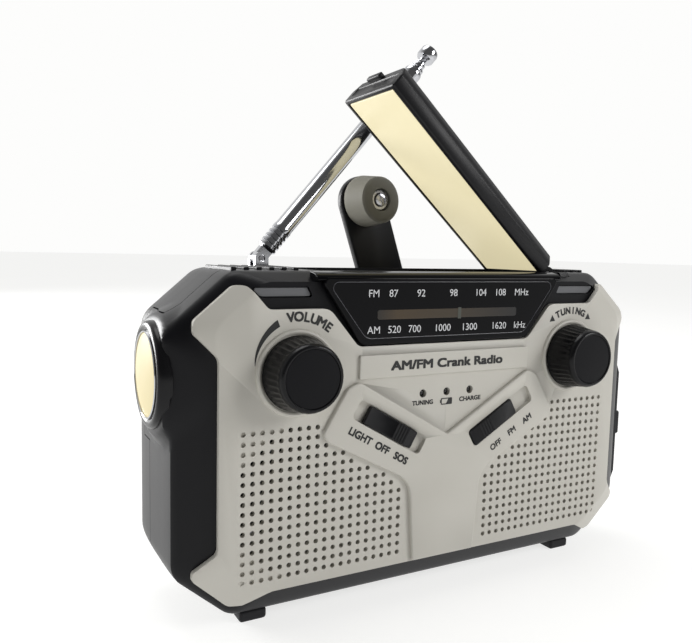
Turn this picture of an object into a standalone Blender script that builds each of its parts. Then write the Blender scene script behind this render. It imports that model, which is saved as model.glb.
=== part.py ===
"""An emergency radio with a crank dynamo, a fold-up solar lamp and a side flashlight.

Built in metres, +Z up, with the front facing -Y and the feet standing on Z = 0. Sizes below are in
millimetres and are turned into metres where a mesh is made. "Depth" is the distance behind the
front panel's face, so a negative depth stands in front of it.
"""

import math

import bmesh
import bpy
from mathutils import Matrix, Vector

MM = 0.001

# Clearances
GAP = 0.3  # between pieces that rest on or turn in each other
SLIDING_GAP = 0.25  # between the telescopic sections
SEAM_GAP = 0.3  # between the two housings

# Body: two moulded shells, an octagon from the front
BODY_WIDTH = 152.0
BODY_HEIGHT = 89.6
BODY_DEPTH = 43.5
WALL = 2.0
CORNER_RUN = 15.0
CORNER_RISE = 13.0
CORNER_RADIUS = 7.0
BEVEL_WIDTH = 9.6  # of the sloped front border at the sides
BEVEL_LOW = 7.7  # and along the bottom
BEVEL_TOP = 2.7  # and along the top
BEVEL_DEPTH = 5.6
REAR_ROUNDING = 6.0
SEAM_TOP_DEPTH = 15.5
SEAM_LOW_DEPTH = 27.0
SEAM_TONGUE_DEPTH = 33.0
SEAM_TONGUE_LOW = 46.0
SEAM_TONGUE_HIGH = 80.5
FOOT_WIDTH = 7.5
FOOT_LENGTH = 8.0
FOOT_HEIGHT = 3.1
FOOT_INSET = 22.0  # foot centre from the body's side
FRONT_FOOT_DEPTH = 11.5
REAR_FOOT_INSET = 11.0  # rear foot centre from the back

# Front panel
PANEL_THICKNESS = 1.5
PLATE_LIFT = 1.2  # the Y-shaped switch plate stands this far proud
NAME_BAR_LIFT = 0.8
NAME_BAR_HALF = 28.5
NAME_BAR_HEIGHT = 6.2

# Knobs
KNOB_SIDE_INSET = 30.0  # knob centre from the body's side
KNOB_DROP = 26.5  # knob centre below the body's top
KNOB_RADIUS = 9.6
KNOB_FACE_RADIUS = 7.9
KNOB_REACH = 9.5  # front of a knob in front of the panel
SHAFT_RADIUS = 2.7

# Slide switches
SLOT_LENGTH = 24.4
SLOT_WIDTH = 5.6
SLOT_TILT = 30.0
SLIDER_LENGTH = 17.0
SLIDER_LIFT = 1.7
STEM_LENGTH = 3.0
STEM_WIDTH = 1.8

# Indicator LEDs
LED_RADIUS = 1.0

# Dial
DIAL_LOW_HALF = 28.0
DIAL_TOP_HALF = 40.4
DIAL_HEIGHT = 17.6
DIAL_LIFT = 0.5
SCALE_HALF = 26.0
POINTER_REST = 3.0

# Speaker
SPEAKER_SIDE_INSET = 34.0  # speaker centre from the body's left side
SPEAKER_RISE = 30.1  # and above the body's bottom
SPEAKER_RADIUS = 18.3
SPEAKER_DEPTH = 15.0
MAGNET_RADIUS = 10.0

# Flashlight in the left side
FLASHLIGHT_DEPTH = 18.0
FLASHLIGHT_Z = 65.0
BEZEL_RADIUS = 13.6
LENS_RADIUS = 10.6
SIDE_REACH = 4.3  # lens apex and cover tab beyond the body's sides

# Lamp bar, measured closed: it lies along -X from its hinge
LAMP_LENGTH = 73.8
LAMP_THICKNESS = 7.3
LAMP_WIDTH = 27.2
LAMP_FRONT_DEPTH = 6.2
LAMP_NECK = 4.1  # hinge axis to the bar's end
LAMP_BELOW_HINGE = 2.8  # hinge axis to the bar's inner face
LAMP_OPEN_ANGLE = 41.56
LAMP_TAB = 2.4
HINGE_SIDE_INSET = 32.1
HINGE_DROP = 2.2
HINGE_RADIUS = 2.6
HINGE_HALF = 7.5
PIN_RADIUS = 1.2
LAMP_RIM = 2.0  # of the lamp bar's frame around its diffuser
SOLAR_RIM = 3.0  # and around its solar panel
SOLAR_RECESS = 1.3
TRAY_WALL = 1.0
TRAY_FLOOR = 1.2

# Antenna
ANTENNA_SIDE_INSET = 35.1
ANTENNA_DEPTH = 39.6
ANTENNA_RISE = 1.3  # pivot above the body's top
ANTENNA_TILT = 48.9
ANTENNA_TUBE_RADIUS = 3.0
ANTENNA_TUBE_WALL = 0.3
ANTENNA_TUBE_START = 5.2
ANTENNA_TUBE_END = 80.0
ANTENNA_STEP = 2.5  # each section's end beyond the one outside it
ANTENNA_TIP_LENGTH = 3.4
ANTENNA_TIP_RADIUS = 2.4
ANTENNA_DISC_RADIUS = 3.3
ANTENNA_DISC_THICKNESS = 0.6
ANTENNA_STUB_RADIUS = 2.6
ANTENNA_STUB_LENGTH = 7.4  # below the disc
ANTENNA_SEAT_DROP = 2.1  # seat of the antenna's disc below the body's top
ANTENNA_EYE_RADIUS = 1.8
ANTENNA_EYE_THICKNESS = 1.2
TONGUE_HALF = 1.25
TONGUE_RADIUS = 2.0
TILT_PIN_RADIUS = 0.8
TILT_PIN_PLAY = 0.25  # around the tilt pin and under the disc

# Crank
CRANK_X = 20.9
CRANK_Z = 64.4
CRANK_TILT = 18.8
CRANK_LENGTH = 52.0
CRANK_ARM_WIDTH = 17.3
CRANK_ARM_THICKNESS = 3.0
CRANK_ARM_STANDOFF = 13.0  # front of the arm behind the body's back
HUB_RADIUS = 13.0
CRANK_SHAFT_RADIUS = 3.7  # through the back wall
CRANK_STEM_RADIUS = 2.7  # in the gear
BARREL_RADIUS = 2.5
GRIP_BORE_RADIUS = 2.0
GRIP_SCREW_RADIUS = 1.7
GRIP_FRONT = 1.0  # front of the grip behind the body's back
LUG_RADIUS = 3.2
LUG_INNER = 5.9
LUG_OUTER = 9.0
CRANK_KNOB_WIDTH = 16.0
CRANK_KNOB_HEIGHT = 17.6
CRANK_KNOB_TAPER = 0.86

# Dynamo gears
MAIN_MODULE = 0.8
FAST_MODULE = 0.6
WHEEL_TEETH = 48
PINION_TEETH = 12
GEAR_THICKNESS = 3.0
IDLER_POST_RADIUS = 1.0
DYNAMO_SHAFT_RADIUS = 1.0
IDLER_DIRECTION = -75.0
DYNAMO_RADIUS = 9.0
DYNAMO_LENGTH = 11.0
BOARD_THICKNESS = 1.6

# Port cover on the right side
COVER_THICKNESS = 2.2
COVER_LOW = 20.0
COVER_HIGH = 61.0
COVER_FRONT_DEPTH = 8.0
COVER_REAR_DEPTH = 30.0

# Charging socket behind the cover
SOCKET_Z = 41.0
SOCKET_DEPTH = 14.2
SOCKET_HALF = 4.5
SOCKET_THICKNESS = 3.3
SOCKET_WALL = 0.4

# Battery
CELL_RADIUS = 9.2
CELL_LENGTH = 65.0
CELL_LEFT = -54.5

# Housing screws
SCREW_RADIUS = 1.2
SCREW_HEAD_RADIUS = 2.7
POST_RADIUS = 3.0
REAR_POST_RADIUS = 4.2

# Worked out from the sizes above
HALF = BODY_WIDTH / 2
LOW = FOOT_HEIGHT
TOP = LOW + BODY_HEIGHT
FACE_DEPTH = PANEL_THICKNESS + GAP
INNER_DEPTH = FACE_DEPTH + WALL
BACK_INNER = BODY_DEPTH - WALL
FOLD_DEPTH = BODY_DEPTH + CRANK_ARM_STANDOFF + CRANK_ARM_THICKNESS / 2
REAR_REACH = FOLD_DEPTH + LUG_RADIUS
PANEL_Y = (KNOB_REACH - REAR_REACH) / 2
SPEAKER_X = -(HALF - SPEAKER_SIDE_INSET)
SPEAKER_Z = LOW + SPEAKER_RISE
KNOB_X = HALF - KNOB_SIDE_INSET
KNOB_Z = TOP - KNOB_DROP
KNOB_BASE_DEPTH = -0.4
PLATE_HALF = KNOB_X - 7.1
SLOT_X = PLATE_HALF - 20.0
SLOT_Z = LOW + 46.9
SLOT_FLOOR = 0.2
SLIDER_WIDTH = SLOT_WIDTH - 2 * GAP
SLIDER_TRAVEL = (SLOT_LENGTH - SLIDER_LENGTH) / 2 - GAP
LED_Z = KNOB_Z - 7.95
LED_SPACING = 8.0
DIAL_LOW = TOP - 20.3
HINGE_X = HALF - HINGE_SIDE_INSET
HINGE_Z = TOP - HINGE_DROP
LAMP_MID_DEPTH = LAMP_FRONT_DEPTH + LAMP_WIDTH / 2
TRAY_LEFT = HINGE_X - LAMP_NECK - LAMP_LENGTH - LAMP_TAB - 1.0 - TRAY_WALL
TRAY_RIGHT = HINGE_X + HINGE_RADIUS + 1.5 + TRAY_WALL
TRAY_FRONT = LAMP_FRONT_DEPTH - 0.4 - TRAY_WALL
TRAY_REAR = LAMP_FRONT_DEPTH + LAMP_WIDTH + 0.4 + TRAY_WALL
TRAY_FLOOR_Z = HINGE_Z - LAMP_BELOW_HINGE - 0.5
TRAY_LOW = TRAY_FLOOR_Z - TRAY_FLOOR
ANTENNA_X = -(HALF - ANTENNA_SIDE_INSET)
ANTENNA_Z = TOP + ANTENNA_RISE
IDLER_DISTANCE = MAIN_MODULE * (WHEEL_TEETH + PINION_TEETH) / 2
DYNAMO_DISTANCE = FAST_MODULE * (WHEEL_TEETH + PINION_TEETH) / 2
IDLER_X = CRANK_X + IDLER_DISTANCE * math.cos(math.radians(IDLER_DIRECTION))
IDLER_Z = CRANK_Z + IDLER_DISTANCE * math.sin(math.radians(IDLER_DIRECTION))
DYNAMO_X = IDLER_X + DYNAMO_DISTANCE
WHEEL_DEPTH = BACK_INNER - 5.5
FAST_WHEEL_DEPTH = WHEEL_DEPTH - 5.0
CELL_DEPTH = BACK_INNER - CELL_RADIUS - 0.8
BEHIND_BOARD = min(FAST_WHEEL_DEPTH - DYNAMO_LENGTH - 1.0, CELL_DEPTH - CELL_RADIUS - GAP)
BOARD_DEPTH = BEHIND_BOARD - BOARD_THICKNESS
CELL_Z = LOW + WALL + CELL_RADIUS + 2.2
POST_PLACES = (
    (-(HALF - 17.0), LOW + 13.9),
    (HALF - 17.0, LOW + 13.9),
    (-(HALF - 21.0), TOP - 12.7),
    (HALF - 21.0, TOP - 12.7),
)


def y_at(depth):
    """World Y, in millimetres, of a depth behind the panel's face."""
    return PANEL_Y + depth


# --- Scene, collections and materials --------------------------------------------------------


def clear_scene():
    for obj in list(bpy.data.objects):
        bpy.data.objects.remove(obj, do_unlink=True)


def new_collection(name):
    collection = bpy.data.collections.new(name)
    bpy.context.scene.collection.children.link(collection)
    return collection


def new_material(name, colour, roughness, metallic=0.0):
    material = bpy.data.materials.new(name)
    material.use_nodes = True
    material.diffuse_color = (*colour, 1.0)
    shader = material.node_tree.nodes["Principled BSDF"]
    shader.inputs["Base Color"].default_value = (*colour, 1.0)
    shader.inputs["Roughness"].default_value = roughness
    shader.inputs["Metallic"].default_value = metallic
    return material


clear_scene()
PARTS = new_collection("emergency_radio")
CUTTERS = new_collection("cutters")
CUTTERS.hide_render = True

BLACK_ABS = (0.012, 0.012, 0.014)
GREY_ABS = (0.42, 0.41, 0.37)
CHROME = (0.75, 0.76, 0.78)
STEEL = (0.5, 0.5, 0.52)
BOARD_GREEN = (0.02, 0.14, 0.05)


# --- Shape helpers -------------------------------------------------------------------------------


def new_part(name, mesh, placing=None):
    """Link a mesh, given in millimetres, as an object in metres."""
    if placing is not None:
        mesh.transform(placing)
    mesh.transform(Matrix.Scale(MM, 4))
    obj = bpy.data.objects.new(name, mesh)
    PARTS.objects.link(obj)
    return obj


def mesh_of(bm, name):
    mesh = bpy.data.meshes.new(name)
    bm.to_mesh(mesh)
    bm.free()
    return mesh


def box(name, low, high, placing=None):
    """A block between two corners."""
    low = Vector(low)
    high = Vector(high)
    bm = bmesh.new()
    bmesh.ops.create_cube(bm, size=1.0)
    bmesh.ops.scale(bm, vec=high - low, verts=bm.verts)
    bmesh.ops.translate(bm, vec=(high + low) / 2, verts=bm.verts)
    return new_part(name, mesh_of(bm, name), placing)


def tilted_box(name, centre, size, tilt):
    """A block centred on a point and turned about the Y axis by tilt degrees."""
    half = Vector(size) / 2
    turn = Matrix.Rotation(math.radians(tilt), 4, "Y")
    return box(name, -half, half, Matrix.Translation(centre) @ turn)


def aim(base, direction):
    """The placing that stands local +Z along a direction, from a base point."""
    turn = Vector((0, 0, 1)).rotation_difference(Vector(direction)).to_matrix().to_4x4()
    return Matrix.Translation(base) @ turn


def cylinder(name, radius, start, end, sides=24, end_radius=None, stretch=(1, 1, 1)):
    """A cylinder or cone between two points."""
    start = Vector(start)
    axis = Vector(end) - start
    bm = bmesh.new()
    bmesh.ops.create_cone(
        bm,
        cap_ends=True,
        segments=sides,
        radius1=radius,
        radius2=radius if end_radius is None else end_radius,
        depth=axis.length,
    )
    bmesh.ops.scale(bm, vec=stretch, verts=bm.verts)
    obj = new_part(name, mesh_of(bm, name), aim(start + axis / 2, axis))
    return smooth(obj)


def smooth(obj):
    obj.data.shade_smooth()
    obj.data.set_sharp_from_angle(angle=math.radians(35))
    return obj


def turned(name, profile, base, direction, sides=32, ring=False):
    """A profile of (radius, height) points turned about an axis; a ring's profile is a loop."""
    mesh = bpy.data.meshes.new(name)
    count = len(profile)
    edges = [(i, (i + 1) % count) for i in range(count if ring else count - 1)]
    mesh.from_pydata([(radius, 0, height) for radius, height in profile], edges, [])
    mesh.transform(Matrix.Scale(MM, 4))
    obj = bpy.data.objects.new(name, mesh)
    PARTS.objects.link(obj)
    screw = obj.modifiers.new("turn", "SCREW")
    screw.steps = sides
    screw.render_steps = sides
    screw.use_merge_vertices = True
    screw.merge_threshold = 0.00001
    placing = aim(Vector(base) * MM, direction)
    obj.matrix_world = placing
    return obj


def arc(centre, start, end, steps):
    """Points from start to end, turned about a centre through the shorter way."""
    first = start - centre
    last = end - centre
    angle = first.angle(last)
    if angle < 1e-6:
        return [start]
    points = []
    for i in range(steps + 1):
        share = i / steps
        near = math.sin((1 - share) * angle) / math.sin(angle)
        far = math.sin(share * angle) / math.sin(angle)
        points.append(centre + first * near + last * far)
    return points


def rounded(corners, steps=3):
    """An outline with each (x, y, radius) corner replaced by an arc; a fillet fits its edges."""
    points = []
    count = len(corners)
    for i, (x, y, radius) in enumerate(corners):
        here = Vector((x, y))
        before = Vector(corners[i - 1][:2]) - here
        after = Vector(corners[(i + 1) % count][:2]) - here
        half_angle = before.angle(after) / 2
        if abs(half_angle - math.pi / 2) < 1e-4:
            continue
        if radius == 0:
            points.append(here)
            continue
        reach = min(radius / math.tan(half_angle), 0.49 * before.length, 0.49 * after.length)
        fitted = reach * math.tan(half_angle)
        bisector = (before.normalized() + after.normalized()).normalized()
        centre = here + bisector * fitted / math.sin(half_angle)
        start = here + before.normalized() * reach
        end = here + after.normalized() * reach
        points.extend(arc(centre, start, end, steps))
    return points


def mirrored(half_outline):
    """A right-hand half outline, bottom to top, joined to its mirror image."""
    left = [(-x, y, radius) for x, y, radius in reversed(half_outline) if x > 0]
    return list(half_outline) + left


PLANES = {
    "X": Matrix(((0, 0, 1, 0), (1, 0, 0, 0), (0, 1, 0, 0), (0, 0, 0, 1))),
    "Y": Matrix(((1, 0, 0, 0), (0, 0, -1, 0), (0, 1, 0, 0), (0, 0, 0, 1))),
}


def extruded(name, outline, axis, start, stop, placing=None):
    """A flat outline carried along X or Y: a filled 2D curve, made a mesh."""
    curve = bpy.data.curves.new(name + "_outline", "CURVE")
    curve.dimensions = "2D"
    curve.fill_mode = "BOTH"
    curve.extrude = (stop - start) / 2
    spline = curve.splines.new("POLY")
    spline.points.add(len(outline) - 1)
    for point, (x, y) in zip(spline.points, outline):
        point.co = (x, y, 0, 1)
    spline.use_cyclic_u = True
    guide = bpy.data.objects.new(name + "_outline", curve)
    PARTS.objects.link(guide)
    graph = bpy.context.evaluated_depsgraph_get()
    mesh = bpy.data.meshes.new_from_object(guide.evaluated_get(graph))
    bpy.data.objects.remove(guide)
    bm = bmesh.new()
    bm.from_mesh(mesh)
    bmesh.ops.remove_doubles(bm, verts=bm.verts, dist=0.001)
    bmesh.ops.recalc_face_normals(bm, faces=bm.faces)
    bpy.data.meshes.remove(mesh)
    shift = Matrix.Translation((0, 0, (start + stop) / 2 if axis == "X" else -(start + stop) / 2))
    place = PLANES[axis] @ shift
    if placing is not None:
        place = placing @ place
    return new_part(name, mesh_of(bm, name), place)


def loft(name, rings):
    """A closed skin through rings of equal point counts, front ring first."""
    bm = bmesh.new()
    rows = [[bm.verts.new(point) for point in ring] for ring in rings]
    count = len(rows[0])
    for front, back in zip(rows, rows[1:]):
        for i in range(count):
            j = (i + 1) % count
            bm.faces.new((front[i], back[i], back[j], front[j]))
    bm.faces.new(rows[0])
    bm.faces.new(list(reversed(rows[-1])))
    bmesh.ops.recalc_face_normals(bm, faces=bm.faces)
    return new_part(name, mesh_of(bm, name))


def boolean(target, operation, other):
    """Join, cut or keep with another object, which becomes a hidden helper."""
    if other.name in PARTS.objects:
        PARTS.objects.unlink(other)
        CUTTERS.objects.link(other)
        other.hide_render = True
        other.display_type = "WIRE"
    modifier = target.modifiers.new(operation.lower(), "BOOLEAN")
    modifier.operation = operation
    modifier.solver = "EXACT"
    modifier.object = other
    return target


def cut(target, *others):
    for other in others:
        boolean(target, "DIFFERENCE", other)
    return target


def join(target, *others):
    for other in others:
        boolean(target, "UNION", other)
    return target


def bevel(obj, width, segments=1):
    modifier = obj.modifiers.new("bevel", "BEVEL")
    modifier.width = width * MM
    modifier.segments = segments
    modifier.limit_method = "ANGLE"
    return obj


def finish(obj, material):
    obj.data.materials.append(material)
    return obj


def pivot(obj, point):
    """Put an object's origin on its joint's axis, leaving its shape where it is."""
    offset = Vector(point) * MM
    obj.data.transform(Matrix.Translation(-offset))
    obj.location = offset
    return obj


def joint_frame(name, point, turn_y):
    """An empty on a joint's axis, turned about Y, that carries the pieces built around it."""
    empty = bpy.data.objects.new(name, None)
    PARTS.objects.link(empty)
    empty.location = Vector(point) * MM
    empty.rotation_euler = (0, math.radians(turn_y), 0)
    return empty


def carry(empty, *objects):
    for obj in objects:
        obj.parent = empty
    return objects


# --- Housings ------------------------------------------------------------------------------------


def octagon(depth, half_width, low, high, run, rise, radius=CORNER_RADIUS):
    """One station of the body: a rounded octagon at a depth."""
    corners = [
        (-half_width + run, low, radius),
        (half_width - run, low, radius),
        (half_width, low + rise, radius),
        (half_width, high - rise, radius),
        (half_width - run, high, radius),
        (-half_width + run, high, radius),
        (-half_width, high - rise, radius),
        (-half_width, low + rise, radius),
    ]
    return [(x, y_at(depth), z) for x, z in rounded(corners)]


def body_stations(shift=0.0):
    """The outer skin of the closed body, moved forward by a shift."""
    run, rise = CORNER_RUN, CORNER_RISE
    return [
        octagon(
            FACE_DEPTH - shift,
            HALF - BEVEL_WIDTH,
            LOW + BEVEL_LOW,
            TOP - BEVEL_TOP,
            run - 3.0,
            rise - 2.5,
        ),
        octagon(FACE_DEPTH + 0.79 * BEVEL_DEPTH - shift, HALF - 0.6, LOW + 0.6, TOP - 0.5, run, rise),
        octagon(FACE_DEPTH + BEVEL_DEPTH - shift, HALF, LOW, TOP, run, rise),
        octagon(BODY_DEPTH - REAR_ROUNDING, HALF, LOW, TOP, run, rise),
        octagon(BODY_DEPTH - 2.3, HALF - 1.4, LOW + 1.3, TOP - 1.3, run, rise),
        octagon(BODY_DEPTH, HALF - 5.5, LOW + 5.4, TOP - 5.4, run - 2.0, rise - 2.0),
    ]


def cavity():
    """The hollow inside the shells, one wall in from the skin."""
    run, rise = CORNER_RUN - 0.8, CORNER_RISE - 0.7
    wall = WALL
    front = octagon(
        INNER_DEPTH,
        HALF - BEVEL_WIDTH - 0.7 * wall,
        LOW + BEVEL_LOW + 0.75 * wall,
        TOP - BEVEL_TOP - 0.95 * wall,
        run - 3.0,
        rise - 2.5,
    )
    shoulder = octagon(FACE_DEPTH + BEVEL_DEPTH + 0.3 * wall, HALF - wall, LOW + wall, TOP - wall, run, rise)
    waist = octagon(BODY_DEPTH - REAR_ROUNDING - 0.5, HALF - wall, LOW + wall, TOP - wall, run, rise)
    back = octagon(
        BACK_INNER,
        HALF - 5.5 - 0.75 * wall,
        LOW + 5.4 + 0.75 * wall,
        TOP - 5.4 - 0.75 * wall,
        run - 2.0,
        rise - 2.0,
    )
    return loft("cavity", [front, shoulder, waist, back])


def seam_line(shift):
    """The parting line in (depth, height), moved towards the rear by a shift."""
    low = SEAM_TONGUE_LOW - shift
    high = SEAM_TONGUE_HIGH + shift
    line = [
        (SEAM_LOW_DEPTH + shift, LOW - 20.0),
        (SEAM_LOW_DEPTH + shift, low),
        (SEAM_TONGUE_DEPTH + shift, low),
        (SEAM_TONGUE_DEPTH + shift, high),
        (SEAM_TOP_DEPTH + shift, high),
        (SEAM_TOP_DEPTH + shift, TOP + 20.0),
    ]
    return [(y_at(depth), z) for depth, z in line]


def seam_region(name, shift, far_depth):
    """Everything on one side of the parting line, out to a far depth."""
    outer = [(y_at(far_depth), TOP + 20.0), (y_at(far_depth), LOW - 20.0)]
    return extruded(name, seam_line(shift) + outer, "X", -HALF - 20.0, HALF + 20.0)


def along_screws(name, radius, near, far, sides=16):
    """Four cylinders on the screws' axes between two depths."""
    return [
        cylinder(f"{name}_{i}", radius, (x, y_at(near), z), (x, y_at(far), z), sides)
        for i, (x, z) in enumerate(POST_PLACES)
    ]


def tray_opening(name):
    low = (TRAY_LEFT - GAP, y_at(TRAY_FRONT - GAP), TRAY_LOW - 4.0)
    high = (TRAY_RIGHT + GAP, y_at(TRAY_REAR + GAP), TOP + 10.0)
    return box(name, low, high)


def across(name, radius, x, z, near, far, sides=24):
    """A round cutter through the front, along the depth."""
    return cylinder(name, radius, (x, y_at(near), z), (x, y_at(far), z), sides)


def stem_slot(name, side, near, far):
    """The narrow slot that a slider's stem runs in; side is -1 on the left."""
    length = STEM_LENGTH + 2 * SLIDER_TRAVEL + 2 * GAP
    size = (length, far - near, STEM_WIDTH + 2 * GAP)
    centre = (side * SLOT_X, y_at((near + far) / 2), SLOT_Z)
    return tilted_box(name, centre, size, -side * SLOT_TILT)


def led_holes(name, near, far):
    return [
        across(f"{name}_{i}", LED_RADIUS + GAP, (i - 1) * LED_SPACING, LED_Z, near, far, 12)
        for i in range(3)
    ]


def front_housing():
    shell = loft("front_housing", body_stations())
    cut(shell, cavity())
    boolean(shell, "INTERSECT", seam_region("front_region", -SEAM_GAP / 2, -20.0))
    join(shell, *along_screws("front_post", POST_RADIUS, INNER_DEPTH - 0.5, BODY_DEPTH - 13.8))
    cut(shell, *along_screws("front_bore", SCREW_RADIUS + GAP, 12.0, BODY_DEPTH))
    cut(shell, tray_opening("front_tray_opening"))
    near, far = FACE_DEPTH - 1.0, INNER_DEPTH + 1.0
    cut(shell, across("speaker_opening", SPEAKER_RADIUS - 1.2, SPEAKER_X, SPEAKER_Z, near, far, 32))
    for side, name in ((-1, "volume"), (1, "tuning")):
        cut(shell, across(name + "_wall_hole", SHAFT_RADIUS + 1.3, side * KNOB_X, KNOB_Z, near, far, 20))
        cut(shell, stem_slot(name + "_wall_slot", side, near, far))
    cut(shell, *led_holes("led_wall_hole", near, far))
    low = (-SCALE_HALF + 1.5, y_at(near), DIAL_LOW + 5.1)
    high = (SCALE_HALF - 1.5, y_at(far), DIAL_LOW + 10.6)
    cut(shell, box("dial_slit", low, high))
    start = (-HALF - 5.0, y_at(FLASHLIGHT_DEPTH), FLASHLIGHT_Z)
    end = (-HALF + WALL + 4.0, y_at(FLASHLIGHT_DEPTH), FLASHLIGHT_Z)
    cut(shell, cylinder("flashlight_hole", BEZEL_RADIUS - 1.4, start, end, 32))
    cut(shell, socket_hole())
    return finish(shell, new_material("black_abs_front", BLACK_ABS, 0.45))


def rear_housing():
    shell = loft("rear_housing", body_stations())
    cut(shell, cavity())
    boolean(shell, "INTERSECT", seam_region("rear_region", SEAM_GAP / 2, BODY_DEPTH + 20.0))
    low = (ANTENNA_X - 9.0, y_at(TRAY_REAR - 2.0), TOP - 5.7)
    high = (ANTENNA_X + 99.0, y_at(BODY_DEPTH - 2.5), TOP - 1.5)
    join(shell, box("antenna_rib", low, high))
    join(shell, *along_screws("rear_post", REAR_POST_RADIUS, BODY_DEPTH - 13.2, BACK_INNER + 0.5))
    idler_start = (IDLER_X, y_at(FAST_WHEEL_DEPTH - 1.0), IDLER_Z)
    idler_end = (IDLER_X, y_at(BACK_INNER + 0.5), IDLER_Z)
    join(shell, cylinder("idler_post", IDLER_POST_RADIUS, idler_start, idler_end, 12))
    cut(shell, tray_opening("rear_tray_opening"))
    cut(shell, *along_screws("rear_bore", SCREW_RADIUS + GAP, BODY_DEPTH - 15.0, BODY_DEPTH + 1.0))
    cut(shell, *along_screws("head_bore", SCREW_HEAD_RADIUS + GAP, BODY_DEPTH - 2.7, BODY_DEPTH + 1.0))
    groove_start = (ANTENNA_X + 2.5, y_at(ANTENNA_DEPTH), ANTENNA_Z)
    groove_end = (ANTENNA_X + 97.0, y_at(ANTENNA_DEPTH), ANTENNA_Z)
    cut(shell, cylinder("antenna_groove", ANTENNA_TUBE_RADIUS + 0.35, groove_start, groove_end, 20))
    seat_low = (ANTENNA_X, y_at(ANTENNA_DEPTH), TOP - ANTENNA_SEAT_DROP)
    seat_high = (ANTENNA_X, y_at(ANTENNA_DEPTH), TOP + 5.0)
    cut(shell, cylinder("antenna_seat", ANTENNA_DISC_RADIUS + GAP, seat_low, seat_high, 24))
    hole_low = (ANTENNA_X, y_at(ANTENNA_DEPTH), TOP - 12.0)
    cut(shell, cylinder("antenna_hole", ANTENNA_STUB_RADIUS + GAP, hole_low, seat_high, 20))
    hole = CRANK_SHAFT_RADIUS + GAP
    cut(shell, across("crank_hole", hole, CRANK_X, CRANK_Z, BACK_INNER - 1.0, BODY_DEPTH + 1.0))
    low, high = door_corners(GAP)
    cut(shell, box("door_opening", low, high))
    return finish(shell, new_material("black_abs_rear", BLACK_ABS, 0.5))


def door_corners(margin):
    """The battery door's block, or its opening when a margin is given."""
    depth_near = BACK_INNER if margin == 0 else BACK_INNER - 1.0
    depth_far = BODY_DEPTH if margin == 0 else BODY_DEPTH + 1.0
    low = (CELL_LEFT + 1.0 - margin, y_at(depth_near), LOW + 6.6 - margin)
    high = (CELL_LEFT + CELL_LENGTH + 1.0 + margin, y_at(depth_far), LOW + 24.0 + margin)
    return low, high


def battery_door():
    low, high = door_corners(0)
    door = box("battery_door", low, high)
    middle = (low[0] + high[0]) / 2
    pull = box(
        "door_pull",
        (middle - 6.0, high[1] - 0.8, high[2] - 4.0),
        (middle + 6.0, high[1] + 1.0, high[2] - 2.0),
    )
    cut(door, pull)
    return finish(door, new_material("black_abs_door", BLACK_ABS, 0.5))


def feet():
    rubber = new_material("foot_rubber", (0.01, 0.01, 0.01), 0.85)
    places = [
        ("front_left_foot", -1, FRONT_FOOT_DEPTH),
        ("front_right_foot", 1, FRONT_FOOT_DEPTH),
        ("rear_left_foot", -1, BODY_DEPTH - REAR_FOOT_INSET),
        ("rear_right_foot", 1, BODY_DEPTH - REAR_FOOT_INSET),
    ]
    for name, side, depth in places:
        x = side * (HALF - FOOT_INSET)
        low = (x - FOOT_WIDTH / 2, y_at(depth) - FOOT_LENGTH / 2, 0.0)
        high = (x + FOOT_WIDTH / 2, y_at(depth) + FOOT_LENGTH / 2, LOW - GAP)
        finish(bevel(box(name, low, high), 0.7), rubber)


def housing_screws():
    steel = new_material("screw_steel", STEEL, 0.35, 1.0)
    names = ("low_left_screw", "low_right_screw", "top_left_screw", "top_right_screw")
    head_face = BODY_DEPTH - 0.9
    length = head_face - 15.0
    profile = [
        (0.0, length),
        (SCREW_HEAD_RADIUS, length),
        (SCREW_HEAD_RADIUS, length - 1.5),
        (SCREW_RADIUS, length - 1.5),
        (SCREW_RADIUS, 0.0),
        (0.0, 0.0),
    ]
    for name, (x, z) in zip(names, POST_PLACES):
        finish(turned(name, profile, (x, y_at(15.0), z), (0, 1, 0), 12), steel)


# --- Front panel, dial and controls ----------------------------------------------------------------


def panel_outline():
    """The right half of the panel's edge, with an ear at each corner of the body."""
    side = HALF - 9.9
    ear = HALF - 4.4
    return mirrored(
        [
            (0, LOW + 7.9, 0),
            (HALF - 23.5, LOW + 7.9, 4),
            (HALF - 17.0, LOW + 4.5, 2.5),
            (HALF - 13.5, LOW + 4.5, 2.5),
            (ear, LOW + 12.9, 2),
            (ear, LOW + 15.1, 1.5),
            (side, LOW + 20.1, 3),
            (side, TOP - 22.1, 3),
            (ear, TOP - 16.1, 1.5),
            (ear, TOP - 12.1, 2),
            (HALF - 12.8, TOP - 4.5, 3),
            (HALF - 17.6, TOP - 4.5, 2.5),
            (HALF - 22.6, TOP - 9.95, 2.5),
            (DIAL_LOW_HALF + 9.0, TOP - 9.95, 4),
            (DIAL_LOW_HALF + 0.6, DIAL_LOW - 0.4, 3),
            (0, DIAL_LOW - 0.4, 0),
        ]
    )


def plate_outline():
    """The right half of the Y-shaped switch plate."""
    arm = PLATE_HALF
    base = LOW + 7.9
    return mirrored(
        [
            (0, base + 0.4, 0),
            (10.4, base + 0.4, 0.5),
            (12.2, base + 23.6, 8),
            (arm - 1.3, SLOT_Z - 2.1, 1.5),
            (arm, SLOT_Z + 0.2, 2),
            (arm - 6.9, SLOT_Z + 11.5, 2.5),
            (arm - 10.3, SLOT_Z + 13.0, 2.5),
            (0, SLOT_Z + 13.0 - (arm - 10.3) * math.tan(math.radians(SLOT_TILT)), 0),
        ]
    )


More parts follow.
